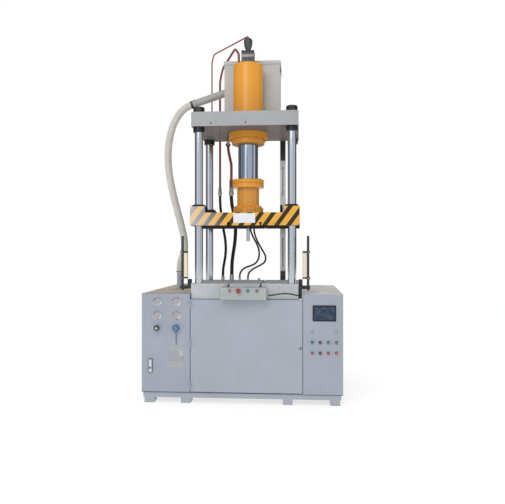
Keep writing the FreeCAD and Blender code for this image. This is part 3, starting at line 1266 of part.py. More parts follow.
def station_cabinet():
    """Sheet cabinet with a lipped doorway and, on its top, the stub that takes the suction hose."""
    front = -PLATE_EDGE
    outer = block(STATION_LEFT, STATION_RIGHT, front, STATION_BACK, Z_BED, Z_CABINET_TOP)
    inner = block(STATION_LEFT + SHEET, STATION_RIGHT - SHEET, front + SHEET, STATION_BACK - SHEET,
                  Z_BED + SHEET, Z_CABINET_TOP - SHEET)
    lip = CABINET_LIP
    doorway = block(STATION_LEFT + lip, STATION_RIGHT - lip, front, front + SHEET, Z_BED + lip, Z_CABINET_TOP - lip)
    stub_place = point(HOSE_STUB_X, SUCTION_Y, Z_CABINET_TOP - SHEET)
    radius = SUCTION_STUB_DIAMETER / 2
    stub = round_bar(radius, HOSE_STUB_Z - Z_CABINET_TOP + SHEET, stub_place)
    flange = round_bar(radius + 18.0, 10.0, point(HOSE_STUB_X, SUCTION_Y, Z_CABINET_TOP))
    bore = round_bar(radius - PIPE_WALL, HOSE_STUB_Z - Z_CABINET_TOP + SHEET, stub_place)
    return cut(fused(cut(outer, inner, doorway), stub, flange), bore)


def oil_reservoir():
    """Closed welded tank on the station's floor, with two runners under the motor."""
    gap = RESERVOIR_GAP
    x0 = STATION_LEFT + SHEET + gap
    x1 = STATION_RIGHT - SHEET - gap
    y0 = -PLATE_EDGE + 4 * CABINET_LIP
    y1 = STATION_BACK - SHEET - gap
    wall = RESERVOIR_WALL
    outer = block(x0, x1, y0, y1, Z_RESERVOIR, Z_RESERVOIR_TOP)
    inner = block(x0 + wall, x1 - wall, y0 + wall, y1 - wall, Z_RESERVOIR + wall, Z_RESERVOIR_TOP - wall)
    filler = round_bar(40.0, 36.0, point(x0 + 90.0, y1 - 120.0, Z_RESERVOIR_TOP))
    return fused(cut(outer, inner), filler)


def electric_motor():
    """Foot-mounted motor lying along Y, with its fan cowl at the back, terminal box, and shaft to the front."""
    y = -PLATE_EDGE + MOTOR_SETBACK
    outer = MOTOR_DIAMETER / 2
    place = point(MOTOR_X, y + MOTOR_LENGTH, Z_MOTOR)
    shaft = MOTOR_SHAFT / 2
    length = MOTOR_LENGTH
    profile = [(0, 0), (outer - 14, 0), (outer - 6, 8), (outer - 6, 70), (outer, 70), (outer, length - 30)]
    profile += [(outer - 10, length - 22), (outer - 10, length), (shaft, length), (shaft, length + 50), (0, length + 50)]
    body = turned_front(profile, place)
    foot_half = outer * 0.8
    feet = block(MOTOR_X - foot_half, MOTOR_X + foot_half, y + 60.0, y + MOTOR_LENGTH - 90.0,
                 Z_RESERVOIR_TOP, Z_MOTOR - outer * 0.6)
    terminals = block(MOTOR_X - 50, MOTOR_X + 50, y + 90.0, y + 200.0, Z_MOTOR + outer * 0.8, Z_MOTOR + outer + 45.0)
    return fused(body, feet, terminals)


def hydraulic_pump():
    """Bell housing bolted to the motor's face, and the pump on its front."""
    y = -PLATE_EDGE + MOTOR_SETBACK
    bell = BELL_DIAMETER / 2
    pump = PUMP_DIAMETER / 2
    shaft = MOTOR_SHAFT / 2 + RUNNING_FIT
    length = BELL_LENGTH
    profile = [(shaft, 0), (bell, 0), (bell, 14), (bell - 20, 22), (bell - 20, length - 12), (pump + 8, length)]
    profile += [(pump + 8, length + 14), (pump, length + 14), (pump, length + PUMP_LENGTH), (0, length + PUMP_LENGTH)]
    profile += [(0, 52), (shaft, 52)]
    body = turned_front(profile, point(MOTOR_X, y, Z_MOTOR))
    port = round_bar(22.0, pump + 24.0, point(MOTOR_X, y - length - 60.0, Z_MOTOR))
    return fused(body, port)


# ================================================================ assembly
def build_all():
    save("base_frame", base_frame())
    save("table_plate", table_plate())
    save("columns", columns())
    save("column_nuts", column_nuts())
    save("crown_plate", crown_plate())
    save("cylinder_barrel", cylinder_barrel())
    save("cylinder_gland", cylinder_gland())
    save("filling_valve", filling_valve())
    save("filling_tank", filling_tank())
    save("tank_lid", tank_lid())
    save("suction_pipe", suction_pipe())
    save("suction_hose", suction_hose())
    save("pilot_pipe", pilot_pipe())
    save("pressure_pipe", pressure_pipe())
    save("return_pipe", return_pipe())
    save("pressure_hose", pressure_hose())
    save("return_hose", return_hose())
    save("ejector_hose_left", ejector_hose_left())
    save("ejector_hose_right", ejector_hose_right())
    save("rear_manifold", rear_manifold())
    save("sensor_rail", sensor_rail())
    save("limit_switches", limit_switches())
    save("light_curtains", light_curtains())
    save("curtain_brackets", curtain_brackets())
    save("control_box", control_box())
    save("control_cable", control_cable())
    save("electrical_cabinet", electrical_cabinet())
    save("touch_screen", touch_screen())
    save("station_cabinet", station_cabinet())
    save("oil_reservoir", oil_reservoir())
    save("electric_motor", electric_motor())
    save("hydraulic_pump", hydraulic_pump())
    save("ejector_cylinder", ejector_cylinder())
    save("ejector_rod", ejector_rod())
    save("station_door", station_door())
    save("pressure_gauges", pressure_gauges())
    save("station_latch", station_latch())
    save("relief_knob", relief_knob())
    save("flow_knob", flow_knob())
    save("document_pouch", document_pouch())
    save("centre_door", centre_door())
    save("centre_lock", centre_lock())
    save("slide_body", slide_body())
    save("ram", ram())
    save("ram_flange", ram_flange())
    save("coupling_sleeve", coupling_sleeve())
    save("guide_bushes", guide_bushes())
    save("upper_ejector_rod", upper_ejector_rod())
    names = ("box_button_red", "emergency_stop", "box_button_green", "box_button_brown")
    for name, (x, z) in zip(names, box_button_places()):
        if name == "emergency_stop":
            save(name, mushroom_button(x, BOX_FRONT, z))
        else:
            save(name, push_button(x, BOX_FRONT, z))
    rows = ("high", "low")
    for index, (x, z) in enumerate(panel_button_places()):
        row = rows[index // 4]
        place = index % 4
        if place == 1:
            save("selector_" + row, selector(x, DOOR_FRONT, z))
        else:
            save("panel_button_" + row + "_" + str(place + 1), push_button(x, DOOR_FRONT, z))


def export_all():
    os.makedirs("parts", exist_ok=True)
    shift = point(-ORIGIN_X, -ORIGIN_Y, 0)
    for name, shape in pieces.items():
        moved = shape.copy()
        moved.translate(shift)
        moved.exportStep("parts/" + name + ".step")


build_all()
export_all()
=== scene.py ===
import math

import bmesh
import bpy
from mathutils import Matrix, Vector


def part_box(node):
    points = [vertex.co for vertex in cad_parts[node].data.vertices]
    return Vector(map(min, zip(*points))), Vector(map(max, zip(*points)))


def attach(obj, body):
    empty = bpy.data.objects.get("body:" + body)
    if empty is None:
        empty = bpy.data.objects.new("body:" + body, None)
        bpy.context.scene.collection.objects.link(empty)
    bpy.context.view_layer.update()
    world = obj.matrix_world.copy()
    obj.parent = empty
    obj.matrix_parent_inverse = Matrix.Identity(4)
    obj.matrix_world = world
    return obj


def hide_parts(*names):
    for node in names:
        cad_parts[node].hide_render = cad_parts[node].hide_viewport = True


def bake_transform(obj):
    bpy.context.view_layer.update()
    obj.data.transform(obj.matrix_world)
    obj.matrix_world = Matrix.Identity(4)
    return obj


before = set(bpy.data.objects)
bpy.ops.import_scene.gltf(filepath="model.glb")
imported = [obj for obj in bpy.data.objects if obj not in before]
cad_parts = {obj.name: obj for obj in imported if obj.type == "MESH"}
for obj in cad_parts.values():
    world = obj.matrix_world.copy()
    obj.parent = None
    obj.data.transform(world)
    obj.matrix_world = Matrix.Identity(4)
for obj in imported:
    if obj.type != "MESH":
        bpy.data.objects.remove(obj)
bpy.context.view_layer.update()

# ---------------------------------------------------------------- places, from the frame

MM = 0.001


def middle(node):
    low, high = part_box(node)
    return (low + high) / 2


AXIS = middle("columns")
DOOR_FACE = AXIS.y - 408 * MM
TABLE_LOW, TABLE_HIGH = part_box("table_plate")
CROWN_LOW, CROWN_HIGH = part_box("crown_plate")
SLIDE_LOW, SLIDE_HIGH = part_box("slide_body")
BOX_LOW, BOX_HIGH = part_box("control_box")
GAUGES_LOW, GAUGES_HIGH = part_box("pressure_gauges")
SCREEN_LOW, SCREEN_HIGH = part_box("touch_screen")
CURTAIN_LOW, CURTAIN_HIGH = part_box("light_curtains")
POUCH_LOW, POUCH_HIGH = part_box("document_pouch")
SLEEVE_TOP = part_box("coupling_sleeve")[1].z
BARREL_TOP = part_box("cylinder_barrel")[1].z


def at(x, y, z):
    """A place measured from the press's axis and the floor."""
    return Vector((AXIS.x + x, AXIS.y + y, z))


# ---------------------------------------------------------------- camera, light and floor

CAMERA_PLACE = (0.5216, -6.1289, 1.3581)
CAMERA_YAW = math.radians(4.5)
CAMERA_LENS = 42.77
CAMERA_SENSOR = 36.0

FLOOR_SIZE = 60.0
FLOOR_GLOW = 0.68
KEY_PLACE = (-1.2, -5.6, 5.0)
KEY_SIZE = 3.6
KEY_POWER = 90.0
ROOM_LIGHT = 0.80


def set_camera():
    data = bpy.data.cameras.new("camera")
    data.lens = CAMERA_LENS
    data.sensor_width = CAMERA_SENSOR
    data.sensor_fit = "HORIZONTAL"
    camera = bpy.data.objects.new("camera", data)
    camera.location = CAMERA_PLACE
    camera.rotation_euler = (math.radians(90), 0, CAMERA_YAW)
    bpy.context.scene.collection.objects.link(camera)
    bpy.context.scene.camera = camera


set_camera()

# ---------------------------------------------------------------- shader helpers


def shader(name):
    material = bpy.data.materials.new(name)
    material.use_nodes = True
    return material, material.node_tree, material.node_tree.nodes["Principled BSDF"]


def add(tree, kind, inputs=None, **settings):
    """Adds a node: settings are its own properties, inputs its sockets' values or links."""
    node = tree.nodes.new(kind)
    for key, value in settings.items():
        setattr(node, key, value)
    for key, value in (inputs or {}).items():
        if isinstance(value, bpy.types.NodeSocket):
            tree.links.new(value, node.inputs[key])
        else:
            node.inputs[key].default_value = value
    return node


def object_place(tree):
    return add(tree, "ShaderNodeTexCoord").outputs["Object"]


def stretched(tree, place, scale):
    return add(tree, "ShaderNodeMapping", {"Vector": place, "Scale": scale}).outputs[0]


def noise(tree, place, scale, detail=2.0, roughness=0.5):
    """Noise of a given scale, from 0 to 1."""
    sockets = {"Vector": place, "Scale": scale, "Detail": detail, "Roughness": roughness}
    return add(tree, "ShaderNodeTexNoise", sockets).outputs["Fac"]


def remap(tree, value, low, high, new_low=0.0, new_high=1.0):
    sockets = {"Value": value, "From Min": low, "From Max": high, "To Min": new_low, "To Max": new_high}
    return add(tree, "ShaderNodeMapRange", sockets).outputs["Result"]


def math_node(tree, operation, first, second=0.0):
    return add(tree, "ShaderNodeMath", {0: first, 1: second}, operation=operation).outputs[0]


def mixed(tree, factor, first, second):
    """A colour between first and second."""
    node = add(tree, "ShaderNodeMix", data_type="RGBA")
    for socket, value in ((node.inputs[0], factor), (node.inputs[6], first), (node.inputs[7], second)):
        if isinstance(value, bpy.types.NodeSocket):
            tree.links.new(value, socket)
        else:
            socket.default_value = value if isinstance(value, float) else (*value, 1.0)
    return node.outputs[2]


def shade(colour, factor):
    return tuple(channel * factor for channel in colour)


def bump(tree, height, strength, distance, normal=None):
    sockets = {"Height": height, "Strength": strength, "Distance": distance}
    if normal is not None:
        sockets["Normal"] = normal
    return add(tree, "ShaderNodeBump", sockets).outputs["Normal"]


def soft_edges(tree, radius):
    """A normal rounded over near edges, and how far it turns there, from 0 on flats."""
    rounded = add(tree, "ShaderNodeBevel", {"Radius": radius}, samples=4).outputs[0]
    flat = add(tree, "ShaderNodeNewGeometry").outputs["Normal"]
    agreement = add(tree, "ShaderNodeVectorMath", {0: rounded, 1: flat}, operation="DOT_PRODUCT")
    return rounded, remap(tree, agreement.outputs["Value"], 1.0, 0.75)


# ---------------------------------------------------------------- materials


def looking(tree, upwards):
    """How far a face looks up, or down, from 0 to 1."""
    coordinates = add(tree, "ShaderNodeTexCoord").outputs["Normal"]
    tilt = add(tree, "ShaderNodeSeparateXYZ", {0: coordinates}).outputs["Z"]
    return remap(tree, tilt, 0.6, 0.8) if upwards else remap(tree, tilt, -0.6, -0.8)


def paint(name, colour, roughness=0.36, mottling=0.05, wear=None, edge=1.5 * MM, coat=0.25, top=None, under=None,
          specular=0.5):
    """Sprayed enamel: faint clouds, orange peel, dust in the gloss, thin wear along edges.

    top gives faces that look up a lighter colour, a painted light, and under gives faces that look down a darker
    colour, a painted shade; both also make those faces rougher.
    """
    material, tree, bsdf = shader(name)
    bsdf.inputs["Specular IOR Level"].default_value = specular
    place = object_place(tree)
    rounded, turn = soft_edges(tree, edge)
    clouds = remap(tree, noise(tree, place, 2.6, 4.0), 0.3, 0.7)
    colour_here = mixed(tree, clouds, shade(colour, 1 - mottling), shade(colour, 1 + mottling))
    streaks = noise(tree, stretched(tree, place, (30, 30, 2.2)), 1.0, 3.0)
    colour_here = mixed(tree, remap(tree, streaks, 0.52, 0.78, 0.0, 0.22), colour_here, shade(colour, 0.86))
    gloss = remap(tree, noise(tree, place, 14, 4.0), 0.3, 0.7, roughness - 0.07, roughness + 0.09)
    # Painted light and shade by facing: top lightens faces that look up, under darkens faces that look down.
    for other, upwards in ((top, True), (under, False)):
        if other:
            share = looking(tree, upwards)
            patches = mixed(tree, remap(tree, noise(tree, place, 5, 5.0, 0.6), 0.35, 0.65), shade(other, 0.86),
                            shade(other, 1.10))
            colour_here = mixed(tree, share, colour_here, patches)
            gloss = math_node(tree, "MAXIMUM", gloss, math_node(tree, "MULTIPLY", share, 0.8))
    rubbed = math_node(tree, "MULTIPLY", turn, remap(tree, noise(tree, place, 60, 3.0), 0.42, 0.62))
    colour_here = mixed(tree, rubbed, colour_here, wear or shade(colour, 0.62))
    tree.links.new(colour_here, bsdf.inputs["Base Color"])
    tree.links.new(gloss, bsdf.inputs["Roughness"])
    peel = bump(tree, noise(tree, place, 420, 1.0), 0.09, 0.6 * MM, rounded)
    tree.links.new(peel, bsdf.inputs["Normal"])
    bsdf.inputs["Coat Weight"].default_value = coat
    bsdf.inputs["Coat Roughness"].default_value = 0.18
    return material


STRIPE_PITCH = 107 * MM
STRIPE_BLACK = 0.43
STRIPE_LEAN = 72 / 98
STRIPE_START = 165 * MM
STRIPE_LEVEL = 1608 * MM


def hazard_paint(name):
    """Orange with black diagonal stripes on the slide's front, both paler towards its left end as a painted glare, and
    dark enamel on its other sides.
    """
    orange, black, dark = (0.76, 0.40, 0.070), (0.046, 0.037, 0.022), (0.014, 0.012, 0.010)
    material, tree, bsdf = shader(name)
    coordinates = add(tree, "ShaderNodeTexCoord")
    place = coordinates.outputs["Object"]
    split = add(tree, "ShaderNodeSeparateXYZ", {0: place})
    rounded, turn = soft_edges(tree, 1.5 * MM)
    lean = math_node(tree, "MULTIPLY", split.outputs["Z"], STRIPE_LEAN)
    run = math_node(tree, "SUBTRACT", split.outputs["X"], lean)
    start = AXIS.x + STRIPE_START - STRIPE_LEVEL * STRIPE_LEAN
    share = math_node(tree, "DIVIDE", math_node(tree, "SUBTRACT", run, start), STRIPE_PITCH)
    ragged = remap(tree, noise(tree, place, 260, 2.0), 0.0, 1.0, -0.012, 0.012)
    share = math_node(tree, "FRACT", math_node(tree, "ADD", share, ragged))
    is_black = math_node(tree, "LESS_THAN", share, STRIPE_BLACK)
    clouds = remap(tree, noise(tree, place, 9, 4.0), 0.3, 0.7)
    orange_here = mixed(tree, clouds, shade(orange, 0.92), shade(orange, 1.06))
    # Towards the slide's left end the black and orange turn pale: a painted glare.
    painted_glare = remap(tree, split.outputs["X"], SLIDE_LOW.x + 340 * MM, SLIDE_LOW.x, 0.0, 0.92)
    black_here = mixed(tree, painted_glare, black, (0.44, 0.49, 0.50))
    orange_here = mixed(tree, painted_glare, orange_here, (0.78, 0.55, 0.36))
    stripes = mixed(tree, is_black, orange_here, black_here)
    scuffs = remap(tree, noise(tree, stretched(tree, place, (8, 8, 30)), 1.0, 5.0, 0.7), 0.60, 0.74, 0.0, 0.5)
    stripes = mixed(tree, scuffs, stripes, (0.16, 0.13, 0.09))
    facing = add(tree, "ShaderNodeSeparateXYZ", {0: coordinates.outputs["Normal"]}).outputs["Y"]
    on_front = math_node(tree, "MULTIPLY", math_node(tree, "LESS_THAN", facing, -0.7),
                         math_node(tree, "LESS_THAN", split.outputs["Y"], SLIDE_LOW.y + 3 * MM))
    dark_here = mixed(tree, clouds, shade(dark, 0.8), shade(dark, 1.5))
    colour_here = mixed(tree, on_front, dark_here, stripes)
    rubbed = math_node(tree, "MULTIPLY", turn, remap(tree, noise(tree, place, 50, 3.0), 0.4, 0.6))
    colour_here = mixed(tree, rubbed, colour_here, (0.20, 0.19, 0.18))
    tree.links.new(colour_here, bsdf.inputs["Base Color"])
    gloss = remap(tree, noise(tree, place, 20, 4.0), 0.3, 0.7, 0.40, 0.56)
    matt = math_node(tree, "MULTIPLY", math_node(tree, "SUBTRACT", 1.0, on_front), 0.9)
    tree.links.new(math_node(tree, "MAXIMUM", gloss, matt), bsdf.inputs["Roughness"])
    tree.links.new(bump(tree, noise(tree, place, 400, 1.0), 0.1, 0.6 * MM, rounded), bsdf.inputs["Normal"])
    bsdf.inputs["Specular IOR Level"].default_value = 0.04
    return material


def metal(name, colour, roughness, grain=(1, 1, 1), grain_scale=90.0, depth=0.06, blotches=0.08,
          metallic=1.0, spots=None, specular=0.5):
    """Bare or plated metal: grain drawn out one way, blotches in colour and gloss."""
    material, tree, bsdf = shader(name)
    bsdf.inputs["Specular IOR Level"].default_value = specular
    place = object_place(tree)
    rounded, turn = soft_edges(tree, 0.8 * MM)
    lines = noise(tree, stretched(tree, place, grain), grain_scale, 3.0, 0.6)
    clouds = remap(tree, noise(tree, place, 7, 4.0), 0.3, 0.7)
    colour_here = mixed(tree, clouds, shade(colour, 1 - blotches), shade(colour, 1 + blotches))
    if spots:
        stains = remap(tree, noise(tree, place, 22, 5.0, 0.65), 0.60, 0.70)
        colour_here = mixed(tree, stains, colour_here, spots)
    colour_here = mixed(tree, math_node(tree, "MULTIPLY", turn, 0.5), colour_here, shade(colour, 1.25))
    tree.links.new(colour_here, bsdf.inputs["Base Color"])
    gloss = remap(tree, lines, 0.25, 0.75, max(0.03, roughness * 0.7), roughness * 1.3)
    tree.links.new(gloss, bsdf.inputs["Roughness"])
    tree.links.new(bump(tree, lines, depth, 0.3 * MM, rounded), bsdf.inputs["Normal"])
    bsdf.inputs["Metallic"].default_value = metallic
    return material


def rubber(name, colour, roughness=0.5):
    """Hose cover: fine wrap marks, dusty patches."""
    material, tree, bsdf = shader(name)
    place = object_place(tree)
    dust = remap(tree, noise(tree, place, 18, 5.0, 0.6), 0.45, 0.75)
    tree.links.new(mixed(tree, dust, colour, shade(colour, 2.4)), bsdf.inputs["Base Color"])
    tree.links.new(remap(tree, dust, 0.0, 1.0, roughness, roughness + 0.15), bsdf.inputs["Roughness"])
    weave = add(tree, "ShaderNodeTexVoronoi", {"Vector": place, "Scale": 620.0}).outputs["Distance"]
    tree.links.new(bump(tree, weave, 0.25, 0.3 * MM), bsdf.inputs["Normal"])
    bsdf.inputs["Specular IOR Level"].default_value = 0.3
    return material


def hose_cover(name):
    """Beige suction hose: a dark seam and a pale band run along it, the band a painted highlight, and the hose is
    darker between its ribs.
    """
    beige, pale, grey = (0.63, 0.60, 0.55), (0.66, 0.65, 0.62), (0.34, 0.31, 0.27)
    material, tree, bsdf = shader(name)
    place = object_place(tree)
    around = add(tree, "ShaderNodeAttribute", attribute_name="around").outputs["Fac"]
    rib = add(tree, "ShaderNodeAttribute", attribute_name="rib").outputs["Fac"]
    clouds = remap(tree, noise(tree, place, 12, 4.0), 0.3, 0.7)
    colour_here = mixed(tree, clouds, shade(beige, 0.92), shade(beige, 1.10))
    # A pale band along the hose: a painted highlight.
    outer = remap(tree, math_node(tree, "ABSOLUTE", math_node(tree, "SUBTRACT", around, 0.28)), 0.16, 0.08)
    colour_here = mixed(tree, outer, colour_here, pale)
    seam = remap(tree, math_node(tree, "ABSOLUTE", math_node(tree, "SUBTRACT", around, 0.60)), 0.022, 0.012)
    colour_here = mixed(tree, math_node(tree, "MULTIPLY", seam, 0.8), colour_here, grey)
    colour_here = mixed(tree, remap(tree, rib, 1.0, 0.0, 0.0, 0.35), colour_here, grey)
    tree.links.new(colour_here, bsdf.inputs["Base Color"])
    tree.links.new(remap(tree, clouds, 0.0, 1.0, 0.38, 0.52), bsdf.inputs["Roughness"])
    tree.links.new(bump(tree, noise(tree, place, 300, 2.0), 0.15, 0.4 * MM), bsdf.inputs["Normal"])
    bsdf.inputs["Specular IOR Level"].default_value = 0.45
    return material


def plastic(name, colour, roughness=0.28, glow=0.0):
    """Moulded plastic: faint flow clouds and a fine moulded texture."""
    material, tree, bsdf = shader(name)
    place = object_place(tree)
    clouds = remap(tree, noise(tree, place, 60, 3.0), 0.3, 0.7)
    tree.links.new(mixed(tree, clouds, shade(colour, 0.88), shade(colour, 1.10)), bsdf.inputs["Base Color"])
    tree.links.new(remap(tree, noise(tree, place, 150, 3.0), 0.3, 0.7, roughness - 0.05, roughness + 0.08),
                   bsdf.inputs["Roughness"])
    tree.links.new(bump(tree, noise(tree, place, 1400, 1.0), 0.05, 0.15 * MM), bsdf.inputs["Normal"])
    bsdf.inputs["Coat Weight"].default_value = 0.4
    bsdf.inputs["Coat Roughness"].default_value = 0.12
    if glow:
        bsdf.inputs["Emission Color"].default_value = (*colour, 1.0)
        bsdf.inputs["Emission Strength"].default_value = glow
    return material


def clear(name, colour, alpha, roughness=0.06):
    """Clear glass or film with faint smears in its gloss."""
    material, tree, bsdf = shader(name)
    place = object_place(tree)
    smears = noise(tree, place, 30, 4.0)
    tree.links.new(mixed(tree, smears, shade(colour, 0.96), colour), bsdf.inputs["Base Color"])
    tree.links.new(remap(tree, smears, 0.3, 0.7, roughness, roughness + 0.1), bsdf.inputs["Roughness"])
    bsdf.inputs["Alpha"].default_value = alpha
    return material


def dial_face(name):
    material, tree, bsdf = shader(name)
    place = object_place(tree)
    clouds = remap(tree, noise(tree, place, 40, 3.0), 0.3, 0.7)
    tree.links.new(mixed(tree, clouds, (0.36, 0.33, 0.34), (0.42, 0.39, 0.40)), bsdf.inputs["Base Color"])
    bsdf.inputs["Roughness"].default_value = 0.42
    return material


def paper(name):
    """Sheets in the pouch: off-white, with a band of pale blank blocks of colour."""
    material, tree, bsdf = shader(name)
    place = object_place(tree)
    split = add(tree, "ShaderNodeSeparateXYZ", {0: place})
    level = split.outputs["Z"]
    from_middle = math_node(tree, "ABSOLUTE", math_node(tree, "SUBTRACT", level, POUCH_LOW.z + 110 * MM))
    bare = math_node(tree, "MULTIPLY",
                     math_node(tree, "GREATER_THAN", split.outputs["X"], (POUCH_LOW.x + POUCH_HIGH.x) / 2 + 24 * MM),
                     math_node(tree, "GREATER_THAN", level, POUCH_LOW.z + 112 * MM))
    printed = math_node(tree, "LESS_THAN", from_middle, 49 * MM)
    blocks = add(tree, "ShaderNodeTexVoronoi", {"Vector": stretched(tree, place, (1, 0, 0.6)), "Scale": 17.0},
                 distance="CHEBYCHEV").outputs["Color"]
    tint = add(tree, "ShaderNodeSeparateXYZ", {0: blocks})
    colour_here = mixed(tree, remap(tree, tint.outputs[0], 0.50, 0.55), (0.34, 0.32, 0.41), (0.24, 0.23, 0.34))
    colour_here = mixed(tree, bare, colour_here, (0.46, 0.47, 0.50))
    colour_here = mixed(tree, printed, (0.37, 0.39, 0.39), colour_here)
    tree.links.new(colour_here, bsdf.inputs["Base Color"])
    tree.links.new(bump(tree, noise(tree, place, 25, 3.0), 0.3, 1.5 * MM), bsdf.inputs["Normal"])
    bsdf.inputs["Roughness"].default_value = 0.6
    return material


def screen_face(name):
    """A dim screen: soft dark blue patches under a smooth pane."""
    material, tree, bsdf = shader(name)
    place = object_place(tree)
    patches = remap(tree, noise(tree, stretched(tree, place, (1, 1, 1.8)), 34, 3.0, 0.6), 0.38, 0.66)
    tree.links.new(mixed(tree, patches, (0.008, 0.024, 0.052), (0.052, 0.082, 0.125)), bsdf.inputs["Base Color"])
    tree.links.new(remap(tree, noise(tree, place, 80, 3.0), 0.3, 0.7, 0.10, 0.22), bsdf.inputs["Roughness"])
    bsdf.inputs["Specular IOR Level"].default_value = 0.35
    return material


def floor_material(name):
    """A pale studio floor, lit through from below so that it stays near white."""
    material, bsdf = shader(name)[::2]
    bsdf.inputs["Base Color"].default_value = (0.42, 0.42, 0.42, 1.0)
    bsdf.inputs["Roughness"].default_value = 0.9
    bsdf.inputs["Specular IOR Level"].default_value = 0.1
    bsdf.inputs["Emission Color"].default_value = (1.0, 1.0, 1.0, 1.0)
    bsdf.inputs["Emission Strength"].default_value = FLOOR_GLOW
    return material


# under= colours below are painted shade on faces that look down.
MATERIALS = {
    "cabinet_paint": paint("cabinet_paint", (0.36, 0.39, 0.445), wear=(0.26, 0.27, 0.29), coat=0.1,
                           under=(0.20, 0.20, 0.20)),
    "frame_paint": paint("frame_paint", (0.42, 0.44, 0.45), wear=(0.28, 0.28, 0.26), coat=0.1),
    "orange_paint": paint("orange_paint", (0.75, 0.31, 0.018), roughness=0.36, coat=0.12, wear=(0.42, 0.16, 0.02),
                          under=(0.40, 0.17, 0.03)),
    "hazard_paint": hazard_paint("hazard_paint"),
    "box_paint": paint("box_paint", (0.37, 0.41, 0.41), coat=0.1),
    "motor_paint": paint("motor_paint", (0.05, 0.11, 0.20)),
    "pipe_paint": paint("pipe_paint", (0.27, 0.045, 0.055), roughness=0.34, wear=(0.14, 0.06, 0.06), coat=0.2),
    "sensor_bar": paint("sensor_bar", (0.76, 0.64, 0.42), roughness=0.4),
    "table_steel": metal("table_steel", (0.50, 0.52, 0.54), 0.62, (1, 14, 14), 60.0, 0.10,
                         metallic=0.12, spots=(0.36, 0.36, 0.34), specular=0.06),
    "hard_chrome": metal("hard_chrome", (0.56, 0.59, 0.63), 0.12, (1, 1, 22), 70.0, 0.02, 0.03),
    "black_oxide": metal("black_oxide", (0.030, 0.030, 0.032), 0.38, blotches=0.25, metallic=0.6,
                         spots=(0.055, 0.048, 0.040)),
    "valve_steel": metal("valve_steel", (0.060, 0.070, 0.070), 0.44, blotches=0.15, metallic=0.4,
                         spots=(0.04, 0.04, 0.04)),
    "zinc_steel": metal("zinc_steel", (0.58, 0.58, 0.55), 0.34, (1, 1, 4), 60.0, 0.06, 0.10,
                        spots=(0.46, 0.46, 0.42)),
    "gauge_steel": metal("gauge_steel", (0.82, 0.82, 0.83), 0.22, (1, 1, 1), 200.0, 0.02, 0.03),
    "hose_rubber": rubber("hose_rubber", (0.014, 0.014, 0.015)),
    "suction_rubber": hose_cover("suction_rubber"),
    "black_plastic": plastic("black_plastic", (0.020, 0.020, 0.022)),
    "red_plastic": plastic("red_plastic", (0.27, 0.034, 0.038)),
    "brown_plastic": plastic("brown_plastic", (0.24, 0.115, 0.085)),
    "green_plastic": plastic("green_plastic", (0.030, 0.19, 0.135)),
    "blue_plastic": plastic("blue_plastic", (0.024, 0.12, 0.26)),
    "screen_black": plastic("screen_black", (0.020, 0.025, 0.034), 0.3),
    "clear_film": clear("clear_film", (0.62, 0.64, 0.62), 0.22, 0.14),
}
# The colour of the dark strips along the fronts' lower edges: painted shade for the gaps there.
DOOR_GAP_SHADE = rubber("door_gap_shade", (0.055, 0.062, 0.078), 0.6)
GLASS = clear("gauge_glass", (0.95, 0.96, 0.97), 0.14)
DIAL = dial_face("dial_face")
PAPER = paper("paper")
SCREEN_GLASS = screen_face("screen_glass")
WHITE_PAINT = paint("white_paint", (0.72, 0.74, 0.78), roughness=0.4)
CORD_TWINE = rubber("twine", (0.10, 0.11, 0.13), 0.7)

OLIVE = paint("olive_paint", (0.20, 0.19, 0.09), roughness=0.45)
LENS = plastic("lamp_lens", (0.27, 0.29, 0.34), 0.2)
# The tank's paint is a lighter copy of the crown's warm grey: painted light.
TANK_PAINT_LIT = paint("tank_paint_lit", (0.46, 0.455, 0.44), coat=0.1)
